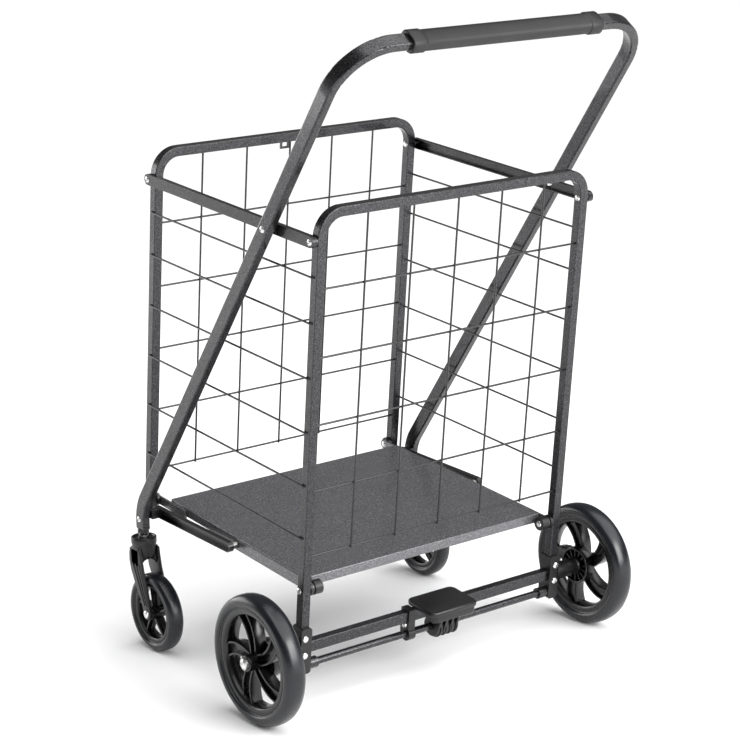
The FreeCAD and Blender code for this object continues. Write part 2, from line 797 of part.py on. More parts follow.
def brace():
    long = str(brace_long)
    outer, inner = channel(
        "brace", "0", long, "brace_high", BRACE_IN, BRACE_WEB, True, BRACE_IN, BRACE_OUT
    )
    holes = [inner]
    holes.append(rod("brace_knuckle_hole", "pin/2 + pin_fit", "3*bar_deep", (f"{BRACE_IN} - 1", "0", "0")))
    holes.append(rod("brace_foot_hole", "pin/2", "3*bar_deep", (f"{BRACE_IN} - 1", long, "0")))
    return cut("brace_piece", outer, holes)


brace_right = brace()
keep("brace_right", brace_right, BRACE)
keep("brace_left", mirrored("brace_left", brace_right))


def brace_foot():
    """Plastic block in the brace's front end, between its lips."""
    long = str(brace_long)
    foot_long = f"{HANDLE_IN} - brace_clear - ({BRACE_WEB})"
    high = "brace_high/2 - bar_sheet - 0.1"
    parts = [
        rod("foot_end", high, foot_long, (BRACE_WEB, long, "0")),
        box("foot_mid", foot_long, "14", f"2*({high})", (BRACE_WEB, f"{long} - 14", f"-({high})")),
    ]
    holes = [
        rod("foot_hole", "pin/2", f"2*({foot_long})", (f"{BRACE_WEB} - 1", long, "0")),
        rod("foot_recess", "head/2", "head_high + 1", (f"{HANDLE_IN} - brace_clear - head_high", long, "0")),
    ]
    return cut("foot_piece", fuse("foot_blank", parts), holes)


foot = brace_foot()
keep("brace_feet", group("brace_feet", [foot, mirrored("foot_other", foot)]), BRACE)
rivet_pair(
    "brace_end_rivets", BRACE_IN, f"{HANDLE_IN} - brace_clear - head_high", str(brace_long), "0", BRACE
)
rivet_pair("brace_rivets", "deck_half - deck_sheet", BRACE_WEB, "knuckle_reach", "knuckle_rise", DECK)
ring_pair(
    "brace_spacers", RAIL_OUT, f"{BRACE_IN} - ({RAIL_OUT})", "washer/2 - 1", "pin/2",
    "knuckle_reach", "knuckle_rise", DECK,
)

# --- handle ------------------------------------------------------------------

handle_lean = math.radians(value("handle_lean"))
UP_ARM = Vector(0, -math.sin(handle_lean), math.cos(handle_lean))
OUT_ARM = Vector(0, math.cos(handle_lean), math.sin(handle_lean))
SWIVEL_Y = HANDLE_PIVOT.y + (HANDLE_PIVOT.z - value("knee_height")) * math.tan(handle_lean)
HANDLE_X = value(f"{HANDLE_IN} + handle_wide/2")


def tube_face(centre, side, other, wide, deep, corner):
    """Rounded rectangular face: wide along side, deep along other."""
    edges = []
    turns = (
        (side, other, wide, deep),
        (other, -side, deep, wide),
        (-side, -other, wide, deep),
        (-other, side, deep, wide),
    )
    for way, following, out, across in turns:
        start = centre + way * (out / 2) - following * (across / 2 - corner)
        end = centre + way * (out / 2) + following * (across / 2 - corner)
        bend = centre + way * (out / 2 - corner) + following * (across / 2 - corner)
        middle = bend + (way + following) * corner * math.sqrt(0.5)
        edges.append(Part.makeLine(start, end))
        edges.append(Part.Arc(end, middle, bend + following * corner).toShape())
    return Part.Face(Part.Wire(Part.__sortEdges__(edges)))


def handle_run(wide, deep, corner, extend):
    """Left half, top and right half of the bent handle, as one solid."""
    side = Vector(1, 0, 0)
    knee = value("knee_bend")
    tangent = knee * math.tan(handle_lean / 2)
    bend = value("handle_bend")
    foot = value("handle_foot") - extend
    solids = []
    for sign in (-1, 1):
        x = sign * HANDLE_X
        knee_point = Vector(x, SWIVEL_Y, value("knee_height"))
        low = Vector(x, SWIVEL_Y, foot)
        face = tube_face(low, side, Vector(0, 1, 0), wide, deep, corner)
        straight = knee_point.z - tangent - foot
        solids.append(face.extrude(Vector(0, 0, straight)))
        face.translate(Vector(0, 0, straight))
        centre = Vector(x, SWIVEL_Y - knee, knee_point.z - tangent)
        solids.append(face.revolve(centre, ACROSS, math.degrees(handle_lean)))
        start = knee_point + UP_ARM * tangent
        face = tube_face(start, side, OUT_ARM, wide, deep, corner)
        arm = (HANDLE_PIVOT.z - start.z) / math.cos(handle_lean)
        arm += value("handle_reach") - bend
        solids.append(face.extrude(UP_ARM * arm))
        face.translate(UP_ARM * arm)
        centre = start + UP_ARM * arm - side * sign * bend
        solids.append(face.revolve(centre, OUT_ARM, -90 * sign))
        corner_end = centre + UP_ARM * bend
        face = tube_face(corner_end, UP_ARM, OUT_ARM, wide, deep, corner)
        solids.append(face.extrude(Vector(-corner_end.x, 0, 0)))
    return solids[0].fuse(solids[1:]).removeSplitter()


def handle_tube():
    outer = handle_run(value("handle_wide"), value("handle_deep"), value("handle_round"), 0)
    bore_wide = value("handle_wide - 2*handle_wall")
    bore_deep = value("handle_deep - 2*handle_wall")
    inner = handle_run(bore_wide, bore_deep, value("handle_round - handle_wall*0.7"), 2)
    tube = outer.cut(inner)
    side = Vector(1, 0, 0)
    reach = HANDLE_X + value("handle_wide")
    holes = [Part.makeCylinder(value("pin/2 + pin_fit"), 2 * reach, HANDLE_PIVOT - side * reach, side)]
    for sign in (-1, 1):
        start = Vector(sign * HANDLE_X, SWIVEL_Y, value("cross_bolt"))
        holes.append(Part.makeCylinder(value("pin/2"), value("handle_wide"), start, side * sign))
    return tube.cut(holes)


item = doc.addObject("Part::Feature", "handle_tube")
item.Shape = handle_tube()
keep("handle_tube", item)

HANDLE = Placement(HANDLE_PIVOT, Rotation())
rivet_pair("handle_rivets", f"{BAR_OUT} - bar_sheet", HANDLE_OUT, "0", "0", HANDLE)
rivet_pair(
    "cross_bolts", f"{HANDLE_OUT} - handle_wall", HANDLE_OUT, "0", "0",
    Placement(Vector(0, SWIVEL_Y, value("cross_bolt")), Rotation()),
)

GRIP_AT = HANDLE_PIVOT + UP_ARM * value("handle_reach")


def grip():
    body = new_body("grip_body")
    plan = outline(
        body,
        "grip_section",
        "YZ_Plane",
        [
            ("-grip_thick/2", "-grip_high/2"),
            ("grip_thick/2", "-grip_high/2"),
            ("grip_thick/2", "grip_high/2"),
            ("-grip_thick/2", "grip_high/2"),
        ],
    )
    pad(body, plan, "grip_long", symmetric=True)
    round_body(body, "grip_round", "grip_thick*0.27", along("X"))
    body.Tip = body.Group[-1]
    bore = outline(
        body,
        "grip_bore",
        "YZ_Plane",
        [
            ("-handle_deep/2 - grip_fit", "-handle_wide/2 - grip_fit"),
            ("handle_deep/2 + grip_fit", "-handle_wide/2 - grip_fit"),
            ("handle_deep/2 + grip_fit", "handle_wide/2 + grip_fit"),
            ("-handle_deep/2 - grip_fit", "handle_wide/2 + grip_fit"),
        ],
    )
    pocket(body, bore, "grip_long + 2", symmetric=True)
    return body


keep("handle_grip", grip(), Placement(GRIP_AT, Rotation(ACROSS, value("handle_lean"))))

# --- rear wheels, their brackets and the crossbar ----------------------------


def wheel_bracket():
    """Plastic bracket on the foot of the right leg, with the axle boss outboard."""
    body = new_body("bracket_block")
    plan = outline(
        body,
        "bracket_plan",
        "XZ_Plane",
        [
            ("leg_centre - bracket_wide/2", "bracket_low"),
            ("leg_centre + bracket_wide/2", "bracket_low"),
            ("leg_centre + bracket_wide/2", "bracket_top"),
            ("leg_centre - bracket_wide/2", "bracket_top"),
        ],
    )
    pad(body, plan, "bracket_deep", symmetric=True)
    round_body(body, "bracket_round", "bracket_wide*0.24", along("Y"))
    boss_from = "leg_centre + bracket_wide/2 - 2"
    boss_long = f"{WHEEL_X} - rear_hub_wide/2 - axle_gap - ({boss_from})"
    boss_piece = rod("bracket_boss", "boss", boss_long, (boss_from, "0", "0"))
    blank = fuse("bracket_blank", [body, boss_piece])
    shoe = "leg_tube/2 + 0.1"
    cuts = [
        box(
            "bracket_socket",
            "leg_tube + 0.2",
            "leg_tube + 0.2",
            "bracket_top - rear_foot + 2",
            (f"leg_centre - ({shoe})", f"-({shoe})", "rear_foot - 0.1"),
        ),
        rod("bracket_axle_hole", "rear_axle", "bracket_wide + 60", ("leg_centre - 6", "0", "0")),
        rod("bracket_rod_hole", "rod + rod_fit", "bracket_wide*0.6", (
            "leg_centre - bracket_wide/2 - 1", "rod_depth", "rod_drop")),
        box(
            "bracket_bar_socket",
            "3.6",
            "crossbar_tube + 0.1",
            "crossbar_high + 0.1",
            ("leg_centre - bracket_wide/2 - 1", "-crossbar_tube/2 - 0.05", "-crossbar_high/2 - 0.05"),
        ),
    ]
    for name, level in (("high", "rear_foot - 5"), ("low", "-9")):
        cuts.append(
            rod(f"bracket_{name}_rivet_hole", "pin/2", "bracket_deep + 2", (
                "leg_centre + 2", "-bracket_deep/2 - 1", level), "Y")
        )
    return cut("bracket_piece", blank, cuts)


bracket = wheel_bracket()
keep("wheel_bracket_right", bracket, REAR)
keep("wheel_bracket_left", mirrored("wheel_bracket_left", bracket))


def bracket_rivets():
    """Two rivets through each wheel bracket, front to back."""
    one = turned(
        "bracket_rivet",
        [
            ("-head_high", "0"),
            ("bracket_deep", "0"),
            ("bracket_deep", "pin/2"),
            ("0", "pin/2"),
            ("0", "head/2"),
            ("-head_high*0.55", "head*0.42"),
            ("-head_high", "head*0.22"),
        ],
    )
    one.Placement = Placement(Vector(), Rotation(Vector(0, 0, 1), 90))
    locate(one, ("leg_centre + 2", "-bracket_deep/2", "rear_foot - 5"))
    doc.recompute()
    two = doc.addObject("Part::Feature", "bracket_rivet_low")
    shape = one.Shape.copy()
    shape.translate(Vector(0, 0, -9 - value("rear_foot - 5")))
    two.Shape = shape
    sides = [one, two, mirrored("bracket_rivet_one", one), mirrored("bracket_rivet_two", two)]
    return group("bracket_rivets", sides)


keep("bracket_rivets", bracket_rivets(), REAR)


def crossbar():
    reach_x = "leg_centre - bracket_wide/2 + 2.5"
    sizes = ("crossbar_tube", "crossbar_high")
    outer = box(
        "crossbar_outer", f"2*({reach_x})", *sizes, (f"-({reach_x})", "-crossbar_tube/2", "-crossbar_high/2")
    )
    outer = rounded("crossbar_round", outer, "leg_round", along("X"))
    inner = box(
        "crossbar_inner",
        f"2*({reach_x}) + 2",
        *[f"{size} - 2*leg_wall" for size in sizes],
        (f"-({reach_x}) - 1", *[f"-{size}/2 + leg_wall" for size in sizes]),
    )
    return cut("crossbar_piece", outer, [inner])


keep("crossbar", crossbar(), REAR)


def wheel_rim(label, rim, rim_inner, rim_wide, hub, hub_wide, web, axle, teeth):
    """Rim, hub and spokes turned as one disc, then the windows cut between spokes."""
    body = new_body(label)
    section = outline(
        body,
        label + "_half",
        "XY_Plane",
        [
            (f"-{hub_wide}/2", f"{axle} + axle_fit"),
            (f"{hub_wide}/2", f"{axle} + axle_fit"),
            (f"{hub_wide}/2", hub),
            (f"{web}/2 + 1", f"{hub} + 4"),
            (f"{web}/2", f"{rim_inner} - 4"),
            (f"{rim_wide}/2", rim_inner),
            (f"{rim_wide}/2", rim),
            (f"{rim_wide}/2 - 3", rim),
            (f"{rim_wide}/2 - 5", f"{rim} - 4"),
            (f"-{rim_wide}/2 + 5", f"{rim} - 4"),
            (f"-{rim_wide}/2 + 3", rim),
            (f"-{rim_wide}/2", rim),
            (f"-{rim_wide}/2", rim_inner),
            (f"-{web}/2", f"{rim_inner} - 4"),
            (f"-{web}/2 - 1", f"{hub} + 4"),
            (f"-{hub_wide}/2", hub),
        ],
    )
    item = body.newObject("PartDesign::Revolution", label + "_turn")
    item.Profile = section
    item.ReferenceAxis = (section, ["H_Axis"])
    item.Angle = 360
    doc.recompute()
    edge_in = value(f"{hub} + 5")
    edge_out = value(f"{rim_inner} - 5")
    spoke = 0.5 * math.asin(value(f"{hub}*0.95") / edge_in) * 0.9
    turn = math.pi / value("spokes")
    thin = 0.055 + 0.17 * edge_in / edge_out
    corners = []
    for radius_text, radius, shy in (
        (f"({hub} + 5)", edge_in, spoke),
        (f"({rim_inner} - 5)", edge_out, thin),
    ):
        for sign in (-1, 1):
            angle = sign * (turn - shy)
            corners.append((radius_text, angle))
    order = [corners[0], corners[2], corners[3], corners[1]]
    window = outline(
        body,
        label + "_window",
        "YZ_Plane",
        [(f"{text}*{math.cos(angle):.5f}", f"{text}*{math.sin(angle):.5f}") for text, angle in order],
    )
    hole = pocket(body, window, f"{rim_wide} + 4", symmetric=True)
    doc.recompute()
    pattern = body.newObject("PartDesign::PolarPattern", label + "_spokes")
    pattern.Originals = [hole]
    pattern.Axis = (window, ["N_Axis"])
    pattern.Angle = 360
    bind(pattern, "Occurrences", "spokes")
    body.Tip = pattern
    doc.recompute()
    if teeth is None:
        return body
    ring = cut(
        label + "_brake_ring",
        rod(label + "_brake_disc", teeth[0], f"{web}/2 + 8", (f"-{web}/2 - 8", "0", "0")),
        [rod(label + "_brake_bore", f"({teeth[0]}) - 3", f"{web} + 40", (f"-{web}/2 - 9", "0", "0"))],
    )
    ribs = []
    for number in range(12):
        rib = box(f"{label}_rib_{number}", f"{web}/2 + 8", "3", f"({teeth[0]}) - ({hub}) + 0.5", (
            "0", "0", "0"))
        rib.Placement = Placement(Vector(), Rotation(ACROSS, number * 30))
        rib.setExpression("Placement.Base.x", expression(f"-{web}/2 - 8"))
        shift = Rotation(ACROSS, number * 30).multVec(Vector(0, -1.5, value(hub) - 1))
        rib.setExpression("Placement.Base.y", str(round(shift.y, 6)))
        rib.setExpression("Placement.Base.z", str(round(shift.z, 6)))
        ribs.append(rib)
    return fuse(label + "_whole", [body, ring] + ribs)


def tyre(label, radius, wide, rim, rim_wide):
    """Rubber ring, rounded over the tread, seated in the rim's channel."""
    body = new_body(label)
    section = outline(
        body,
        label + "_half",
        "XY_Plane",
        [
            (f"-{rim_wide}/2 + 5.2", f"{rim} - 3.9"),
            (f"{rim_wide}/2 - 5.2", f"{rim} - 3.9"),
            (f"{rim_wide}/2 - 3.1", f"{rim} + 0.1"),
            (f"{wide}/2 - 1.5", f"{rim} + 0.1"),
            (f"{wide}/2", f"{rim} + ({radius} - {rim})*0.35"),
            (f"{wide}*0.44", f"{rim} + ({radius} - {rim})*0.68"),
            (f"{wide}*0.27", f"{rim} + ({radius} - {rim})*0.93"),
            (f"{wide}*0.10", radius),
            (f"-{wide}*0.10", radius),
            (f"-{wide}*0.27", f"{rim} + ({radius} - {rim})*0.93"),
            (f"-{wide}*0.44", f"{rim} + ({radius} - {rim})*0.68"),
            (f"-{wide}/2", f"{rim} + ({radius} - {rim})*0.35"),
            (f"-{wide}/2 + 1.5", f"{rim} + 0.1"),
            (f"-{rim_wide}/2 + 3.1", f"{rim} + 0.1"),
        ],
    )
    item = body.newObject("PartDesign::Revolution", label + "_turn")
    item.Profile = section
    item.ReferenceAxis = (section, ["H_Axis"])
    item.Angle = 360
    return body


rear_rim = wheel_rim(
    "rear_rim_piece", "rear_rim", "rear_rim_inner", "rear_rim_wide", "rear_hub", "rear_hub_wide",
    "rear_web", "rear_axle", ("rear_hub + 18",),
)
rear_rubber = tyre("rear_tyre_piece", "rear_tyre", "rear_tyre_wide", "rear_rim", "rear_rim_wide")
WHEEL = Placement(AXLE + ACROSS * value(WHEEL_X), Rotation())
keep("rear_rim_right", rear_rim, WHEEL)
keep("rear_rim_left", mirrored("rear_rim_left", rear_rim))
keep("rear_tyre_right", rear_rubber, WHEEL)
keep("rear_tyre_left", mirrored("rear_tyre_left", rear_rubber))


def axle_bolts():
    """Shoulder bolts that carry the rear wheels, with domed heads outboard."""
    start = "leg_centre - 6"
    end = f"{WHEEL_X} + rear_hub_wide/2 + axle_gap"
    one = turned(
        "axle_bolt",
        [
            (start, "0"),
            (f"{end} + 5", "0"),
            (f"{end} + 5", "4.5"),
            (f"{end} + 3.5", "8"),
            (end, "8.5"),
            (end, "rear_axle"),
            (start, "rear_axle"),
        ],
    )
    return group("rear_axle_bolts", [one, mirrored("axle_bolt_other", one)])


keep("rear_axle_bolts", axle_bolts(), Placement(AXLE, Rotation()))

# --- brake -------------------------------------------------------------------

BRAKE = Placement(in_rear(value("rod_depth"), value("rod_drop")), Rotation(ACROSS, value("lean")))
ROD_HALF = "leg_centre - bracket_wide/2 + bracket_wide*0.5"


def brake_rod():
    """Round rod across the trolley, with a collar at each end."""
    parts = [rod("rod_shaft", "rod", f"2*({ROD_HALF})", (f"-({ROD_HALF})", "0", "0"))]
    for side in ("-", ""):
        low = "-leg_centre + bracket_wide/2 + 0.5" if side else "leg_centre - bracket_wide/2 - 15.5"
        parts.append(rod(f"rod_collar{'_left' if side else '_right'}", "rod + 3", "15", (low, "0", "0")))
    return fuse("rod_piece", parts)


def brake_pedal():
    """Foot pad with a hub round the rod and a web between them."""
    body = new_body("pedal_pad")
    plan = outline(
        body,
        "pedal_plan",
        "XY_Plane",
        [
            ("-pedal_half", "pedal_rear"),
            ("pedal_half", "pedal_rear"),
            ("pedal_half", "pedal_front"),
            ("-pedal_half", "pedal_front"),
        ],
        "pedal_low",
    )
    pad(body, plan, "pedal_thick")
    round_body(body, "pedal_corners", "pedal_half*0.3", along("Z"))
    top = value("pedal_low + pedal_thick") - 1e-6
    round_body(body, "pedal_edge", "pedal_thick*0.4", lambda e: e.BoundBox.ZMin >= top)
    webs = []
    for number, low in enumerate(("drum_left", "drum_right - 5")):
        web = new_body(f"pedal_web_{number}")
        profile = outline(
            web,
            f"pedal_web_plan_{number}",
            "YZ_Plane",
            [
                ("-drum*0.95", "0"),
                ("-drum*0.2", "-drum*0.9"),
                ("-crossbar_tube/2 - rod_depth - 2.5", "0"),
                ("-crossbar_tube/2 - rod_depth - 2.5", "pedal_low + 1"),
                ("-crossbar_tube/2 - rod_depth - 26", "pedal_low + 1"),
            ],
            low,
        )
        pad(web, profile, "5")
        webs.append(web)
    hub = rod("pedal_hub", "drum - 2", "drum_right - drum_left", ("drum_left", "0", "0"))
    ribs = [
        rod(f"drum_rib_{number}", "drum", "3", (f"drum_left + {number}*(drum_right - drum_left - 3)/6", "0", "0"))
        for number in range(7)
    ]
    bore = rod("pedal_bore", "rod", "drum_right - drum_left + 4", ("drum_left - 2", "0", "0"))
    return cut("pedal_piece", fuse("pedal_blank", [body, hub] + webs + ribs), [bore])


keep("brake_rod", brake_rod(), BRAKE)
keep("brake_pedal", brake_pedal(), BRAKE)


CLAMP_LEFT = "-pedal_half - 4"


def brake_bracket():
    """Clamp round the crossbar that carries the brake rod."""
    half = "crossbar_tube/2"
    body = box(
        "clamp_body",
        "clamp_wide",
        "crossbar_tube + 2*clamp_wall",
        "crossbar_high/2 + clamp_wall - rod_drop",
        (CLAMP_LEFT, f"-rod_depth - {half} - clamp_wall", "0"),
    )
    eye = rod("clamp_eye", "rod + 5", "clamp_wide", (CLAMP_LEFT, "0", "0"))
    socket = box(
        "clamp_socket",
        "clamp_wide + 2",
        "crossbar_tube + 0.1",
        "crossbar_high + 0.1",
        (f"{CLAMP_LEFT} - 1", f"-rod_depth - {half} - 0.05", "-rod_drop - crossbar_high/2 - 0.05"),
    )
    holes = [
        socket,
        rod("clamp_bore", "rod + rod_fit", "clamp_wide + 2", (f"{CLAMP_LEFT} - 1", "0", "0")),
        rod("clamp_bolt_hole", "clamp_bolt", "clamp_wide + 2", (f"{CLAMP_LEFT} - 1", "-rod_depth", "clamp_bolt_up")),
    ]
    return cut("clamp_piece", fuse("clamp_blank", [body, eye]), holes)


keep("brake_bracket", brake_bracket(), BRAKE)


def brake_bolt():
    """Bright bolt through the clamp, with its head on the outer side."""
    body = turned(
        "brake_bolt_piece",
        [
            (f"{CLAMP_LEFT} - 3", "0"),
            (f"{CLAMP_LEFT} + clamp_wide - 1", "0"),
            (f"{CLAMP_LEFT} + clamp_wide - 1", "clamp_bolt"),
            (CLAMP_LEFT, "clamp_bolt"),
            (CLAMP_LEFT, "2*clamp_bolt"),
            (f"{CLAMP_LEFT} - 1.6", "2*clamp_bolt - 0.4"),
            (f"{CLAMP_LEFT} - 3", "clamp_bolt"),
        ],
    )
    locate(body, ("0", "-rod_depth", "clamp_bolt_up"))
    return group("brake_bolt", [body])


keep("brake_bolt", brake_bolt(), BRAKE)

# --- latch hook under the front frame's top tube -----------------------------


def latch_hook():
    """Small keeper that hangs under the top tube and holds the folded deck."""
    under = "frame_top - leg_tube/2"
    parts = [
        rod("hook_bar", "1.8", "15", ("-17", "-2", f"{under} - 9")),
        box("hook_ear_1", "2.4", "3.6", "9.5", ("-17", "-3.8", f"{under} - 9.5")),
        box("hook_ear_2", "2.4", "3.6", "9.5", ("-4.4", "-3.8", f"{under} - 9.5")),
    ]
    return fuse("hook_piece", parts)


keep("latch_hook", latch_hook(), FRONT)

# --- casters -----------------------------------------------------------------

STEM_AT = Vector(HANDLE_X, SWIVEL_Y, 0)


def stem_part(label, points):
    """Piece turned about the swivel axis, from (height, radius) points."""
    body = new_body(label)
    section = outline(body, label + "_half", "XZ_Plane", [(radius, height) for height, radius in points])
    item = body.newObject("PartDesign::Revolution", label + "_turn")
    item.Profile = section
    item.ReferenceAxis = (section, ["V_Axis"])
    item.Angle = 360
    return body


def pair(label, piece, place):
    """A right-hand piece and its mirror image as one node."""
    piece.Placement = place
    return keep(label, group(label, [piece, mirrored(label + "_other", piece)]))


STEM_PLACE = Placement(STEM_AT, Rotation())
stem_low = "crown_top - stem_long"
shoulder = "crown_top + 0.4"
pair(
    "caster_stems",
    stem_part(
        "stem_piece",
        [
            (stem_low, "0"),
            (stem_low, "stem"),
            (shoulder, "stem"),
            (shoulder, "stem + 3"),
            (f"{shoulder} + 2", "stem + 3"),
            (f"{shoulder} + 4.5", "stem_neck"),
            ("handle_foot + 8", "stem_neck"),
            ("handle_foot + 8", "0"),
        ],
    ),
    STEM_PLACE,
)


def stem_collar():
    """Plastic insert: a ring under the tube's end and a square plug inside it."""
    ring = stem_part(
        "collar_ring",
        [
            (f"{shoulder} + 5", "stem_neck"),
            (f"{shoulder} + 5", "collar - 1"),
            (f"{shoulder} + 6", "collar"),
            ("handle_foot - 1", "collar"),
            ("handle_foot", "collar - 1"),
            ("handle_foot", "stem_neck"),
        ],
    )
    wide = "handle_wide - 2*handle_wall - 0.1"
    deep = "handle_deep - 2*handle_wall - 0.1"
    block = box("collar_plug", wide, deep, "9", (f"-({wide})/2", f"-({deep})/2", "handle_foot"))
    block = rounded("collar_plug_round", block, "handle_round", along("Z"))
    bore = rod("collar_bore", "stem_neck", "20", ("0", "0", "handle_foot - 5"), "Z")
    return fuse("collar_piece", [ring, cut("collar_plug_bored", block, [bore])])


pair("caster_collars", stem_collar(), STEM_PLACE)

ARM_IN = "caster_hub_wide/2 + fork_gap"


def caster_fork():
    """Crown, bridge and two trailing arms, moulded as one piece."""
    low = "crown_top - crown_high"
    crown = stem_part(
        "fork_crown",
        [
            (low, "0"),
            (low, "crown - 1.5"),
            (f"{low} + 1.5", "crown"),
            ("crown_top - 1.5", "crown"),
            ("crown_top", "crown - 1.5"),
            ("crown_top", "0"),
        ],
    )
    parts = [crown]
    bridge = box("fork_bridge", f"2*({ARM_IN} + fork_arm)", "crown*1.9", f"crown_top - crown_high - (caster_tyre*2 + 8) + 1", (
        f"-({ARM_IN} + fork_arm)", "-crown*1.06", "caster_tyre*2 + 8"))
    parts.append(rounded("fork_bridge_round", bridge, "crown*0.25", along("Z")))
    for number, start in enumerate((ARM_IN, f"-({ARM_IN}) - fork_arm")):
        arm = new_body(f"fork_arm_{number}")
        shape = outline(
            arm,
            f"fork_arm_plan_{number}",
            "YZ_Plane",
            [
                ("crown*0.8", "crown_top - crown_high + 1"),
                ("crown*0.84", "crown_top - 2*crown_high - 2"),
                ("-caster_trail + 9.5", "caster_tyre - 2"),
                ("-caster_trail - 9.5", "caster_tyre + 2"),
                ("-caster_trail - 2", "caster_tyre*1.72"),
                ("-crown*1.02", "caster_tyre*2 + 12"),
                ("-crown*0.9", "crown_top - crown_high + 1"),
            ],
            start,
        )
        pad(arm, shape, "fork_arm")
        parts.append(arm)
        parts.append(rod(f"fork_eye_{number}", "10", "fork_arm", (start, "-caster_trail", "caster_tyre")))
    holes = [
        rod("fork_axle_hole", "caster_axle", "100", ("-50", "-caster_trail", "caster_tyre")),
        rod("fork_stem_hole", "stem + stem_fit", "stem_long + 1", ("0", "0", "crown_top - stem_long - 0.5"), "Z"),
    ]
    return cut("fork_piece", fuse("fork_blank", parts), holes)


fork = caster_fork()
keep("caster_fork_right", fork, STEM_PLACE)
keep("caster_fork_left", mirrored("caster_fork_left", fork))


def caster_bolt():
    reach = f"{ARM_IN} + fork_arm"
    return turned(
        "caster_bolt_piece",
        [
            (f"-({reach}) - 2.6", "0"),
            (f"{reach} + 2.6", "0"),
            (f"{reach} + 2.6", "3.6"),
            (f"{reach} + 1.4", "6"),
            (reach, "6.3"),
            (reach, "caster_axle"),
            (f"-({reach})", "caster_axle"),
            (f"-({reach})", "6.3"),
            (f"-({reach}) - 1.4", "6"),
            (f"-({reach}) - 2.6", "3.6"),
        ],
    )


CASTER = Placement(Vector(HANDLE_X, SWIVEL_Y - value("caster_trail"), value("caster_tyre")), Rotation())
bolt = caster_bolt()
keep("caster_bolt_right", bolt, CASTER)
keep("caster_bolt_left", mirrored("caster_bolt_left", bolt))
caster_rim = wheel_rim(
    "caster_rim_piece", "caster_rim", "caster_rim_inner", "caster_rim_wide", "caster_hub",
    "caster_hub_wide", "caster_web", "caster_axle", None,
)
caster_rubber = tyre("caster_tyre_piece", "caster_tyre", "caster_tyre_wide", "caster_rim", "caster_rim_wide")
keep("caster_rim_right", caster_rim, CASTER)
keep("caster_rim_left", mirrored("caster_rim_left", caster_rim))
keep("caster_tyre_right", caster_rubber, CASTER)
keep("caster_tyre_left", mirrored("caster_tyre_left", caster_rubber))

# --- check and write ----------------------------------------------------------

doc.recompute()

for item in doc.Objects:
    faults = [state for state in item.State if state in ("Invalid", "Error")]
    if faults:
        raise RuntimeError(f"{item.Name} did not build: {faults}")
for name, item in NODES.items():
    if item.Shape.isNull() or not item.Shape.isValid():
        raise RuntimeError(f"{name} has no valid shape")

os.makedirs("parts", exist_ok=True)
for name, item in NODES.items():
    item.Shape.exportStep(f"parts/{name}.step")
print(f"{len(NODES)} pieces written")
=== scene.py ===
import json
import math

import bpy
from mathutils import Matrix, Vector


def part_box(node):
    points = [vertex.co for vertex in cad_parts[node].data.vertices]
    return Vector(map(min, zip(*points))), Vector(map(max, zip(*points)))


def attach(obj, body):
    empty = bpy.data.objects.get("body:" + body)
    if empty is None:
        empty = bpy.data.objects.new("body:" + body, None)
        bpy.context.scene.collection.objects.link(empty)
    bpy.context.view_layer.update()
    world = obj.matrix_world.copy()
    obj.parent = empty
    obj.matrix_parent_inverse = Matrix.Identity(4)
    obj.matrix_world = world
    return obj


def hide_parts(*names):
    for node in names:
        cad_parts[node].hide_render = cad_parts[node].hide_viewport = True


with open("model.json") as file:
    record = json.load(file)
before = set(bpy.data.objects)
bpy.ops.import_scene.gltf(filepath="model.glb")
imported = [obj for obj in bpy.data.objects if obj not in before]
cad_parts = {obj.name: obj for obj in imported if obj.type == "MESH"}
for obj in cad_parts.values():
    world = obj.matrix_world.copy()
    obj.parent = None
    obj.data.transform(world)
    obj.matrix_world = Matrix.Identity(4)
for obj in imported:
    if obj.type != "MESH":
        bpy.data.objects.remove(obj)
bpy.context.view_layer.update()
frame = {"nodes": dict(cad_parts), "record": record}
NODES = frame["nodes"]

# Folding shopping trolley. +X is to the right of the person who pushes it,
# +Y runs from the rear wheels to the casters, +Z is up. Lengths are in metres.

MM = 0.001


# --- camera and lights -------------------------------------------------------


CAMERA_PLACE = (-1.9050, -2.4836, 1.2092)
CAMERA_TURN = -37.17
CAMERA_LOOK_DOWN = 13.80
CAMERA_ROLL = -1.757
LENS = 106.3
SENSOR = 36


def set_camera():
    data = bpy.data.cameras.new("camera")
    data.sensor_width = SENSOR
    data.lens = LENS
    data.clip_end = 50
    camera = bpy.data.objects.new("camera", data)
    bpy.context.scene.collection.objects.link(camera)
    turn = Matrix.Rotation(math.radians(CAMERA_TURN), 4, "Z")
    tilt = Matrix.Rotation(math.radians(90 - CAMERA_LOOK_DOWN), 4, "X")
    roll = Matrix.Rotation(math.radians(CAMERA_ROLL), 4, "Z")
    camera.matrix_world = Matrix.Translation(CAMERA_PLACE) @ turn @ tilt @ roll
    bpy.context.scene.camera = camera


def soft_light(name, place, target, wide, high, power):
    data = bpy.data.lights.new(name, "AREA")
    data.shape = "RECTANGLE"
    data.size = wide
    data.size_y = high
    data.energy = power
    lamp = bpy.data.objects.new(name, data)
    bpy.context.scene.collection.objects.link(lamp)
    aim = (Vector(target) - Vector(place)).to_track_quat("-Z", "Y")
    lamp.matrix_world = Matrix.Translation(place) @ aim.to_matrix().to_4x4()


def sky_light(name, tip_x, tip_y, spread, strength):
    """A wide, even light from above, so the floor is the same white all over."""
    data = bpy.data.lights.new(name, "SUN")
    data.energy = strength
    data.angle = math.radians(spread)
    lamp = bpy.data.objects.new(name, data)
    bpy.context.scene.collection.objects.link(lamp)
    lamp.rotation_euler = (math.radians(tip_x), math.radians(tip_y), 0)


set_camera()
soft_light("rear_panel", (0.9, -3.2, 1.5), (0, 0, 0.5), 2.4, 2.0, 150)
soft_light("front_panel", (-1.4, 3.4, 1.1), (0, 0, 0.2), 3.0, 1.6, 60)
sky_light("ceiling", 22, 14, 80, 3.3)


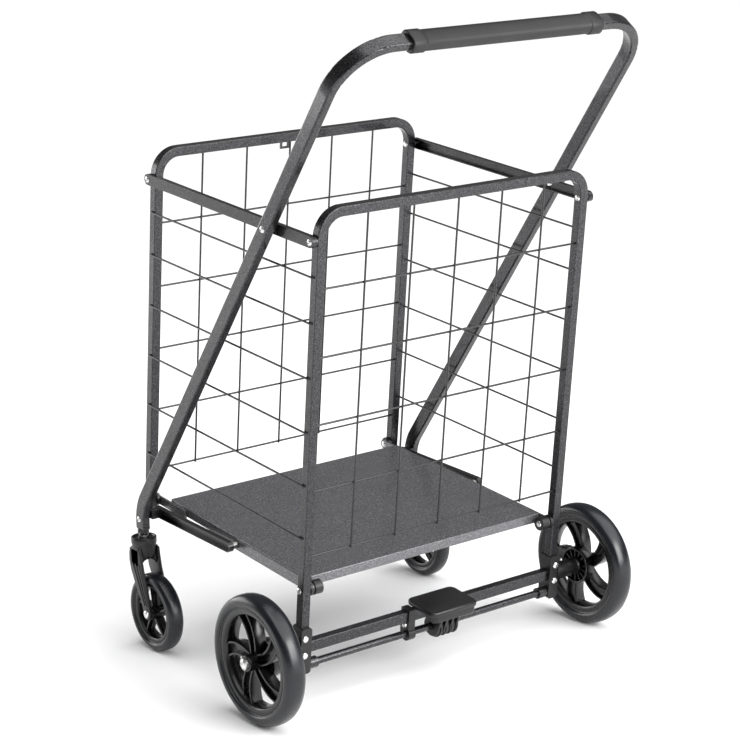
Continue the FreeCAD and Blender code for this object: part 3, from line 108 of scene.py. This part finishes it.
# --- materials ---------------------------------------------------------------


def paint(code):
    """Linear colour, with alpha, from an sRGB hex value."""
    parts = [int(code[i : i + 2], 16) / 255 for i in (1, 3, 5)]
    return tuple(c / 12.92 if c <= 0.04045 else ((c + 0.055) / 1.055) ** 2.4 for c in parts) + (1.0,)


def add(tree, kind, inputs=None, **settings):
    """A node with its settings, and with each named input set or linked."""
    made = tree.nodes.new(kind)
    for name, setting in settings.items():
        setattr(made, name, setting)
    for name, source in (inputs or {}).items():
        if isinstance(source, bpy.types.NodeSocket):
            tree.links.new(source, made.inputs[name])
        else:
            made.inputs[name].default_value = source
    return made


def new_material(name):
    """An empty material with a shader and its output, and object coordinates in metres."""
    made = bpy.data.materials.new(name)
    made.use_nodes = True
    tree = made.node_tree
    tree.nodes.clear()
    shader = add(tree, "ShaderNodeBsdfPrincipled")
    add(tree, "ShaderNodeOutputMaterial", {"Surface": shader.outputs["BSDF"]})
    place = add(tree, "ShaderNodeTexCoord").outputs["Object"]
    return made, tree, shader, place


def link_surface(tree, shader, colour, gloss, dents):
    """Give a shader its colour, its change of gloss and its fine relief."""
    for socket, source in (
        ("Base Color", colour.outputs["Color"]),
        ("Roughness", gloss.outputs["Result"]),
        ("Normal", dents.outputs["Normal"]),
    ):
        tree.links.new(source, shader.inputs[socket])


def hammered_paint(name, dark, light, cell, rough, metal=0.35, dent=0.15):
    """Silver-vein powder coat: dark cells with a bright metallic net between them, slightly dimpled."""
    made, tree, shader, place = new_material(name)
    bend = add(tree, "ShaderNodeTexNoise", {"Vector": place, "Scale": 0.6 / cell, "Detail": 2.0})
    shifted = add(
        tree,
        "ShaderNodeMix",
        {"Factor": 0.0018, "A": place, "B": bend.outputs["Color"]},
        data_type="VECTOR",
    )
    cells = add(
        tree,
        "ShaderNodeTexVoronoi",
        {"Vector": shifted.outputs["Result"], "Scale": 1 / cell, "Smoothness": 0.4},
        feature="SMOOTH_F1",
    )
    grain = add(tree, "ShaderNodeTexNoise", {"Vector": place, "Scale": 2.2 / cell, "Detail": 3.0})
    both = add(
        tree,
        "ShaderNodeMath",
        {0: cells.outputs["Distance"], 1: grain.outputs["Fac"]},
        operation="MULTIPLY",
    )
    veins = add(tree, "ShaderNodeValToRGB", {"Fac": both.outputs[0]})
    veins.color_ramp.elements[0].position = 0.12
    veins.color_ramp.elements[0].color = paint(dark)
    veins.color_ramp.elements[1].position = 0.42
    veins.color_ramp.elements[1].color = paint(light)
    patches = add(tree, "ShaderNodeTexNoise", {"Vector": place, "Scale": 14.0, "Detail": 3.0})
    gloss = add(
        tree,
        "ShaderNodeMapRange",
        {
            "Value": patches.outputs["Fac"],
            "From Min": 0.3,
            "From Max": 0.7,
            "To Min": rough - 0.05,
            "To Max": rough + 0.07,
        },
    )
    dents = add(
        tree,
        "ShaderNodeBump",
        {"Height": both.outputs[0], "Strength": 0.5, "Distance": dent * cell},
    )
    link_surface(tree, shader, veins, gloss, dents)
    shader.inputs["Metallic"].default_value = metal
    shader.inputs["Coat Weight"].default_value = 0.4
    shader.inputs["Coat Roughness"].default_value = 0.12
    return made


def moulded_plastic(name, colour, lighter, rough, grain, bump=0.25):
    """Injection-moulded plastic: fine spark-eroded grain and a faint change of gloss."""
    made, tree, shader, place = new_material(name)
    fine = add(tree, "ShaderNodeTexNoise", {"Vector": place, "Scale": 1 / grain, "Detail": 4.0})
    wide = add(tree, "ShaderNodeTexNoise", {"Vector": place, "Scale": 22.0, "Detail": 3.0})
    tint = add(tree, "ShaderNodeValToRGB", {"Fac": wide.outputs["Fac"]})
    tint.color_ramp.elements[0].position = 0.35
    tint.color_ramp.elements[0].color = paint(colour)
    tint.color_ramp.elements[1].position = 0.75
    tint.color_ramp.elements[1].color = paint(lighter)
    gloss = add(
        tree,
        "ShaderNodeMapRange",
        {
            "Value": wide.outputs["Fac"],
            "From Min": 0.3,
            "From Max": 0.7,
            "To Min": rough - 0.06,
            "To Max": rough + 0.08,
        },
    )
    dents = add(
        tree,
        "ShaderNodeBump",
        {"Height": fine.outputs["Fac"], "Strength": bump, "Distance": 0.3 * grain},
    )
    link_surface(tree, shader, tint, gloss, dents)
    shader.inputs["IOR"].default_value = 1.5
    return made


def zinc_plate(name, colour, darker, rough):
    """Bright zinc over turned steel: fine scratches and cloudy patches of tarnish."""
    made, tree, shader, place = new_material(name)
    clouds = add(tree, "ShaderNodeTexNoise", {"Vector": place, "Scale": 160.0, "Detail": 3.0})
    tint = add(tree, "ShaderNodeValToRGB", {"Fac": clouds.outputs["Fac"]})
    tint.color_ramp.elements[0].position = 0.3
    tint.color_ramp.elements[0].color = paint(darker)
    tint.color_ramp.elements[1].position = 0.65
    tint.color_ramp.elements[1].color = paint(colour)
    fine = add(tree, "ShaderNodeTexNoise", {"Vector": place, "Scale": 1500.0, "Detail": 2.0})
    gloss = add(
        tree,
        "ShaderNodeMapRange",
        {
            "Value": clouds.outputs["Fac"],
            "From Min": 0.3,
            "From Max": 0.7,
            "To Min": rough + 0.1,
            "To Max": rough,
        },
    )
    dents = add(
        tree,
        "ShaderNodeBump",
        {"Height": fine.outputs["Fac"], "Strength": 0.15, "Distance": 0.0001},
    )
    link_surface(tree, shader, tint, gloss, dents)
    shader.inputs["Metallic"].default_value = 1.0
    return made


LOOKS = {
    "frame_paint": hammered_paint("silver_vein_powder_coat", "#08080a", "#4a494c", 0.0017, 0.30, 0.8),
    "bar_paint": hammered_paint("silver_vein_on_folded_sheet", "#060607", "#333235", 0.0017, 0.32, 0.7),
    "deck_paint": hammered_paint("silver_vein_on_deck_sheet", "#4a494c", "#767578", 0.0022, 0.24, 0.35, 0.06),
    "wire_paint": hammered_paint("powder_coat_on_wire", "#08080a", "#1e1d20", 0.0016, 0.40, 0.3),
    "zinc": zinc_plate("bright_zinc_plate", "#f0f0ee", "#b6b6b4", 0.22),
    "dull_zinc": zinc_plate("dull_zinc_washer", "#8c8c8a", "#5c5c5b", 0.38),
    "black_plastic": moulded_plastic("moulded_nylon", "#070708", "#0e0e10", 0.36, 0.0009),
    "rim_plastic": moulded_plastic("moulded_polypropylene_rim", "#050506", "#0b0b0d", 0.26, 0.0012, 0.12),
    "grip_plastic": moulded_plastic("moulded_pvc_grip", "#060607", "#0c0c0e", 0.48, 0.0010, 0.4),
    "tread": moulded_plastic("thermoplastic_rubber_tread", "#0b0c11", "#14161c", 0.27, 0.0011, 0.08),
}

SLOT_OF = {part["node"]: part["material_slot"] for part in frame["record"]["subparts"]}
for name, item in NODES.items():
    item.data.materials.clear()
    item.data.materials.append(LOOKS[SLOT_OF[name]])


# --- shaping tools -----------------------------------------------------------


def drawn_line(name, points):
    """A closed line drawn point by point from a single vertex; left in edit mode, all selected."""
    bpy.ops.object.select_all(action="DESELECT")
    bpy.ops.mesh.primitive_circle_add(vertices=3, radius=MM, location=(0, 0, 0))
    piece = bpy.context.object
    piece.name = name
    bpy.ops.object.mode_set(mode="EDIT")
    bpy.ops.mesh.select_all(action="SELECT")
    bpy.ops.mesh.merge(type="CENTER")
    bpy.ops.transform.translate(value=points[0])
    for here, there in zip(points, points[1:] + points[:1]):
        step = Vector(there) - Vector(here)
        bpy.ops.mesh.extrude_vertices_move(TRANSFORM_OT_translate={"value": step})
    bpy.ops.mesh.select_all(action="SELECT")
    bpy.ops.mesh.remove_doubles(threshold=0.01 * MM)
    return piece


def close_shape():
    """Merge what touches and point every face outwards, then leave edit mode."""
    bpy.ops.mesh.select_all(action="SELECT")
    bpy.ops.mesh.remove_doubles(threshold=0.005 * MM)
    bpy.ops.mesh.normals_make_consistent(inside=False)
    bpy.ops.object.mode_set(mode="OBJECT")


def turned(name, centre, axis, profile, steps=96):
    """A ring spun from a closed profile of (along, radius) in millimetres."""
    along = Vector((1, 0, 0)) if axis == "X" else Vector((0, 0, 1))
    out = Vector((0, 0, 1)) if axis == "X" else Vector((1, 0, 0))
    points = [Vector(centre) + along * (a * MM) + out * (r * MM) for a, r in profile]
    piece = drawn_line(name, points)
    bpy.ops.mesh.spin(steps=steps, angle=math.tau, center=centre, axis=along)
    close_shape()
    return piece


def slab(name, points, depth):
    """A flat shape filled inside a closed line and pulled out along depth."""
    piece = drawn_line(name, points)
    bpy.ops.mesh.edge_face_add()
    bpy.ops.mesh.extrude_region_move(TRANSFORM_OT_translate={"value": depth})
    close_shape()
    return piece


def repeat_round(piece, count, centre, axis):
    """Copy the whole mesh round an axis to make count of them."""
    bpy.context.view_layer.objects.active = piece
    bpy.ops.object.mode_set(mode="EDIT")
    bpy.ops.mesh.select_all(action="SELECT")
    angle = math.tau * (count - 1) / count
    bpy.ops.mesh.spin(steps=count - 1, dupli=True, angle=angle, center=centre, axis=axis)
    bpy.ops.mesh.select_all(action="SELECT")
    bpy.ops.mesh.normals_make_consistent(inside=False)
    bpy.ops.object.mode_set(mode="OBJECT")


def joined(name, parts):
    """Make several pieces one, under a new name."""
    bpy.ops.object.select_all(action="DESELECT")
    for part in parts:
        part.select_set(True)
    bpy.context.view_layer.objects.active = parts[0]
    bpy.ops.object.join()
    parts[0].name = name
    return parts[0]


def soften(piece, width, segments=2):
    """Round the sharp edges, and shade smoothly between them."""
    bpy.ops.object.select_all(action="DESELECT")
    piece.select_set(True)
    bpy.context.view_layer.objects.active = piece
    round_off = piece.modifiers.new("round_off", "BEVEL")
    round_off.width = width * MM
    round_off.segments = segments
    round_off.limit_method = "ANGLE"
    round_off.angle_limit = math.radians(32)
    round_off.use_clamp_overlap = True
    bpy.ops.object.modifier_apply(modifier="round_off")
    bpy.ops.object.shade_smooth_by_angle(angle=math.radians(34))


def fit(piece, body, slot, *nodes):
    """Give a piece its material and its body, and let it stand for its CAD nodes."""
    piece.data.materials.clear()
    piece.data.materials.append(LOOKS[slot])
    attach(piece, body)
    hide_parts(*nodes)


def mirror_copy(piece, name):
    """The same piece on the trolley's left, with its own mesh."""
    bpy.ops.object.select_all(action="DESELECT")
    piece.select_set(True)
    bpy.context.view_layer.objects.active = piece
    bpy.ops.object.duplicate()
    other = bpy.context.object
    other.name = name
    bpy.ops.object.mode_set(mode="EDIT")
    bpy.ops.mesh.select_all(action="SELECT")
    bpy.ops.transform.resize(value=(-1, 1, 1), center_override=(0, 0, 0))
    bpy.ops.mesh.flip_normals()
    bpy.ops.object.mode_set(mode="OBJECT")
    return other


def both_sides(piece, slot, body, *nodes):
    """Right-hand piece and its mirror image; body and nodes are named without their side."""
    other = mirror_copy(piece, piece.name.replace("right", "left"))
    for side, made in (("right", piece), ("left", other)):
        fit(made, body.replace("SIDE", side), slot, *[node.replace("SIDE", side) for node in nodes])


def middle(node):
    low, high = (Vector(corner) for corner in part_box(node))
    return (low + high) / 2


# --- wheels ------------------------------------------------------------------


def even(half):
    """A whole profile from its left half, whose last point lies on the middle plane."""
    return half + [(-along, radius) for along, radius in reversed(half[:-1])]


def spoke_line(centre, x, inner, outer, sweep, beside, wide, rows=7):
    """Outline of one curved rib from hub to rim, beside the spoke's middle line, at the plane x."""
    near, far = [], []
    for row in range(rows + 1):
        share = row / rows
        radius = inner + (outer - inner) * share
        for line, sign in ((near, -1), (far, 1)):
            off = beside[0] + (beside[1] - beside[0]) * share
            off += sign * (wide[0] + (wide[1] - wide[0]) * share) / 2
            turn = sweep * share**1.5 + off / radius
            point = Vector((x, radius * math.sin(turn), radius * math.cos(turn)))
            line.append(centre + point * MM)
    return near + far[::-1]


def wheel(label, centre, barrel, hub, ribs, reach, sweep, count):
    """Parts of a moulded wheel: a barrel, a hub and the curved ribs that make up its spokes."""
    parts = [turned(label + "_barrel", centre, "X", barrel), turned(label + "_hub", centre, "X", hub, 48)]
    for number, (beside, wide, x_from, x_to) in enumerate(ribs):
        line = spoke_line(centre, x_from, reach[0], reach[1], sweep, beside, wide)
        rib = slab(f"{label}_rib_{number}", line, ((x_to - x_from) * MM, 0, 0))
        repeat_round(rib, count, centre, (1, 0, 0))
        parts.append(rib)
    return parts


SPOKES = 5
TEETH = 14
TOOTH_HALF = 1.1
REAR = middle("rear_rim_right")
rim_parts = wheel(
    "rear_rim_right_moulding",
    REAR,
    even([(-13.5, 76), (-13.5, 71), (-12.2, 68), (-8, 65.4), (0, 64.4)]) + [(9, 75), (-9, 75)],
    [(-23, 5.2), (-23, 12), (-12, 14), (8, 13.6), (13, 12.6), (22.4, 11.6), (23, 10.8),
     (23, 7.8), (20.5, 7.6), (20.5, 5.2)],
    [
        ((-5.6, -10.2), (3.0, 3.4), -9, 10),
        ((5.6, 10.2), (3.0, 3.4), -9, 10),
        ((0, 0), (12.0, 21.0), -5, 4.5),
    ],
    (12.2, 66.8),
    0.34,
    SPOKES,
)
# ratchet cup on the wheel's inner face, with its ring of teeth
cup_profile = [(-21, 27.5), (-20.2, 28.4), (-6, 29.4), (-6, 25.4), (-20.2, 25.2), (-21, 26)]
cup = turned("ratchet_cup", REAR, "X", cup_profile, 72)
tooth_line = [(-TOOTH_HALF, 12), (TOOTH_HALF, 12), (TOOTH_HALF, 25.6), (-TOOTH_HALF, 25.6)]
tooth = slab(
    "ratchet_tooth",
    [REAR + Vector((-19 * MM, y * MM, z * MM)) for y, z in tooth_line],
    (13 * MM, 0, 0),
)
repeat_round(tooth, TEETH, REAR, (1, 0, 0))
rear_rim = joined("rear_rim_right_moulding", rim_parts + [cup, tooth])
soften(rear_rim, 0.9)
both_sides(rear_rim, "rim_plastic", "rear_wheel_SIDE", "rear_rim_SIDE")

rear_tyre = turned(
    "rear_tyre_right_rubber",
    REAR,
    "X",
    even([(-13.4, 76.1), (-13.8, 78.2), (-15.4, 78.6), (-16.7, 81), (-17, 84), (-16.2, 87.6),
          (-14.0, 91), (-10.6, 93.4), (-5.6, 94.7), (0, 95)]),
    144,
)
soften(rear_tyre, 0.5)
both_sides(rear_tyre, "tread", "rear_wheel_SIDE", "rear_tyre_SIDE")

FRONT = middle("caster_rim_right")
caster_parts = wheel(
    "caster_rim_right_moulding",
    FRONT,
    even([(-10, 47), (-10, 43), (-9, 40.6), (-5, 39.2), (0, 38.8)]) + [(7, 46.4), (-7, 46.4)],
    [(-13, 4.2), (-13, 8.6), (-12, 9.6), (12, 9.6), (13, 8.6), (13, 4.2)],
    [
        ((0, 0), (4.4, 3.4), -7.5, 7.5),
        ((0, 0), (9.0, 12.0), -2, 2),
    ],
    (8.6, 40.8),
    0.08,
    SPOKES,
)
caster_rim = joined("caster_rim_right_moulding", caster_parts)
soften(caster_rim, 0.6)
both_sides(caster_rim, "rim_plastic", "caster_wheel_SIDE", "caster_rim_SIDE")

caster_tyre = turned(
    "caster_tyre_right_rubber",
    FRONT,
    "X",
    even([(-9.9, 47.1), (-10.3, 48.6), (-11.6, 49), (-12.7, 51), (-13, 53), (-12.2, 56),
          (-10.2, 58.6), (-6.6, 60.3), (0, 61)]),
    112,
)
soften(caster_tyre, 0.4)
both_sides(caster_tyre, "tread", "caster_wheel_SIDE", "caster_tyre_SIDE")


# --- caster forks ------------------------------------------------------------

CROWN_RADIUS = 19.5
CASTER_RADIUS = 61
EYE_RADIUS = 9.8
ARM_THICK = 4.6
ARM_OUTSIDE = 18.3
fork_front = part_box("caster_fork_right")[1][1]
STEM = Vector((FRONT.x, fork_front - CROWN_RADIUS * MM, 0))
TRAIL = (FRONT.y - STEM.y) / MM


def fork_arm(name, x, thick, line):
    """One side of the fork, drawn in side view as (forward, up) from the foot of the stem's axis."""
    points = [STEM + Vector((x * MM, y * MM, z * MM)) for y, z in line]
    return slab(name, points, (thick * MM, 0, 0))


eye = [
    (TRAIL + EYE_RADIUS * math.cos(turn), CASTER_RADIUS + EYE_RADIUS * math.sin(turn))
    for turn in (math.radians(20 - 25 * number) for number in range(9))
]
arm_line = [(14, 160), (16.5, 149), (17, 138), (13.5, 124), (4, 104), (-11, 79)] + eye
arm_line += [(-32.5, 84), (-26, 110), (-20, 128), (-17.5, 142), (-15, 160)]
arch = [(ARM_OUTSIDE, 162), (ARM_OUTSIDE, 131), (14, 129)]
for degrees in range(20, 161, 20):
    turn = math.radians(degrees)
    arch.append((14 * math.cos(turn), 129 + 13 * math.sin(turn)))
arch += [(-14, 129), (-ARM_OUTSIDE, 131), (-ARM_OUTSIDE, 162)]
fork_parts = [
    turned(
        "crown",
        STEM,
        "Z",
        [(177, 5.2), (177, 8.4), (174.6, 9.2), (174.6, 15.4), (176.4, 16.2), (177, 17.2), (176.6, 18.8),
         (175.4, CROWN_RADIUS), (167.2, CROWN_RADIUS), (166, 18.9), (160, 18.4), (150, 17.4),
         (143.4, 15), (143.4, 5.2)],
        72,
    ),
    fork_arm("arm_out", ARM_OUTSIDE - ARM_THICK, ARM_THICK, arm_line),
    fork_arm("arm_in", -ARM_OUTSIDE, ARM_THICK, arm_line),
    slab("shoulders", [STEM + Vector((x * MM, -12 * MM, z * MM)) for x, z in arch], (0, 24 * MM, 0)),
]
for part, width in zip(fork_parts, (0.6, 1.6, 1.6, 4.5)):
    soften(part, width, 3)
RIB_PITCH = 6.6
for side, x in (("out", 18.0), ("in", -19.2)):
    for number in range(3):
        shift = (number - 1) * RIB_PITCH
        front_edge = [(-1 + shift * 1.3, 137), (-13 + shift * 1.1, 108), (TRAIL + shift * 0.75, 74)]
        line = front_edge + [(y - 2, z) for y, z in reversed(front_edge)]
        rib = fork_arm(f"rib_{side}_{number}", x, 1.2, line)
        soften(rib, 0.4)
        fork_parts.append(rib)
fork = joined("caster_fork_right_moulding", fork_parts)
both_sides(fork, "black_plastic", "caster_fork_SIDE", "caster_fork_SIDE")


# --- brake pedal -------------------------------------------------------------


PEDAL_TILT = 7.5
PAD_UNDERSIDE = 45
PAD_THICK = 7.8
DRUM_RADIUS = 18.5


def brake_pedal():
    """Foot pad with a skirt at the back, and a ribbed drum on the rod with four webs up to the pad."""
    rod_at = middle("brake_rod")
    tilt = math.radians(PEDAL_TILT)
    back = Vector((0, -math.cos(tilt), -math.sin(tilt)))
    up = Vector((0, -math.sin(tilt), math.cos(tilt)))

    def at(x, behind, above):
        """A point given across, behind and above the rod, square to the tilted pad."""
        return rod_at + Vector((x * MM, 0, 0)) + back * (behind * MM) + up * (above * MM)

    corners = []
    for x, behind, first in ((35, 46, 90), (35, 1, 0), (-35, 1, -90), (-35, 46, 180)):
        for turn in (first, first - 45, first - 90):
            angle = math.radians(turn)
            corners.append(at(x + 8.8 * math.cos(angle), behind + 9.6 * math.sin(angle), PAD_UNDERSIDE))
    pad = slab("pedal_pad", corners, up * (PAD_THICK * MM))
    soften(pad, 2.6, 4)
    skirt_line = [(-40, 50), (-34, 55.2), (34, 55.2), (40, 50), (43.6, 30), (40, 26), (38.5, 46),
                  (32, 51.5), (-32, 51.5), (-38.5, 46)]
    skirt = slab("pedal_skirt", [at(x, behind, 36) for x, behind in skirt_line], up * (11 * MM))
    soften(skirt, 1.2, 3)
    drum_profile = [(0.5, 6), (0.5, 15), (2, 16.2), (38, 16.2), (39.8, 15), (39.8, 6)]
    drum = turned("pedal_hub", rod_at, "X", drum_profile, 48)
    parts = [pad, skirt, drum]
    for number in range(4):
        x = 6 + number * 10.0
        disc = [(x, 14), (x, DRUM_RADIUS - 0.6), (x + 0.6, DRUM_RADIUS), (x + 2.4, DRUM_RADIUS),
                (x + 3, DRUM_RADIUS - 0.6), (x + 3, 14)]
        parts.append(turned(f"pedal_disc_{number}", rod_at, "X", disc, 64))
    for number, x in enumerate((0.6, 12, 24, 35)):
        web = [(16, -8), (7.5, 0), (7.5, 46), (34 - 2 * number, 46), (18, 2)]
        points = [at(x, behind, above) for behind, above in web]
        parts.append(slab(f"pedal_web_{number}", points, (4 * MM, 0, 0)))
    for part in parts[2:]:
        soften(part, 0.5)
    piece = joined("brake_pedal_moulding", parts)
    fit(piece, "brake", "black_plastic", "brake_pedal")


brake_pedal()


# --- grip --------------------------------------------------------------------


HANDLE_LEAN = 37.4
GRIP_HALF = 165
GRIP_POINTS = 40
SQUARENESS = 0.72


def grip():
    """Sleeve with a raised band at each end, pulled out ring by ring along the tube."""
    centre = middle("handle_grip")
    lean = math.radians(HANDLE_LEAN)
    up = Vector((0, -math.sin(lean), math.cos(lean)))
    front = Vector((0, math.cos(lean), math.sin(lean)))
    ring = []
    for number in range(GRIP_POINTS):
        turn = math.tau * number / GRIP_POINTS
        across, rise = math.cos(turn), math.sin(turn)
        ring.append(
            centre
            + Vector((-GRIP_HALF * MM, 0, 0))
            + front * (15.3 * MM * math.copysign(abs(across) ** SQUARENESS, across))
            + up * (11.3 * MM * math.copysign(abs(rise) ** SQUARENESS, rise))
        )
    piece = drawn_line("hand_grip_sleeve", ring)
    bpy.ops.mesh.edge_face_add()
    bpy.ops.mesh.extrude_region_move()
    x = -GRIP_HALF
    # each ring along the sleeve, with its size as a share of the ring before it
    rings = [(-163.6, 1.07), (-144, 1.0), (-142.6, 0.92), (-141, 0.985), (141, 1.0), (142.6, 1.015),
             (144, 1.087), (163.6, 1.0), (GRIP_HALF, 0.935)]
    for there, size in rings:
        bpy.ops.transform.translate(value=((there - x) * MM, 0, 0))
        bpy.ops.transform.resize(value=(1, size, size), center_override=centre)
        x = there
        if there < GRIP_HALF:
            bpy.ops.mesh.extrude_region_move()
    close_shape()
    soften(piece, 0.5)
    fit(piece, "handle", "grip_plastic", "handle_grip")


grip()


# --- floor and room ----------------------------------------------------------


def set_stage():
    """A plain pale floor and an even white room."""
    bpy.ops.object.select_all(action="DESELECT")
    bpy.ops.mesh.primitive_plane_add(size=60, location=(0, 0, 0))
    floor = bpy.context.object
    floor.name = "floor"
    made, tree, shader, place = new_material("plain_pale_floor")
    soft = add(tree, "ShaderNodeTexNoise", {"Vector": place, "Scale": 2.0})
    tint = add(tree, "ShaderNodeValToRGB", {"Fac": soft.outputs["Fac"]})
    tint.color_ramp.elements[0].color = paint("#f8f8f8")
    tint.color_ramp.elements[1].color = paint("#fcfcfc")
    tree.links.new(tint.outputs["Color"], shader.inputs["Base Color"])
    shader.inputs["Roughness"].default_value = 0.9
    floor.data.materials.append(made)
    world = bpy.data.worlds.new("studio")
    world.use_nodes = True
    tree = world.node_tree
    tree.nodes.clear()
    # a white studio wall behind the trolley, which gives little light of its own
    wall = add(tree, "ShaderNodeBackground", {"Color": (1, 1, 1, 1), "Strength": 1.0})
    room = add(tree, "ShaderNodeBackground", {"Color": (1, 1, 1, 1), "Strength": 0.16})
    seen = add(tree, "ShaderNodeLightPath").outputs["Is Camera Ray"]
    both = add(tree, "ShaderNodeMixShader", {"Fac": seen, 1: room.outputs[0], 2: wall.outputs[0]})
    add(tree, "ShaderNodeOutputWorld", {"Surface": both.outputs[0]})
    bpy.context.scene.world = world
    bpy.context.scene.view_settings.view_transform = "Standard"


set_stage()
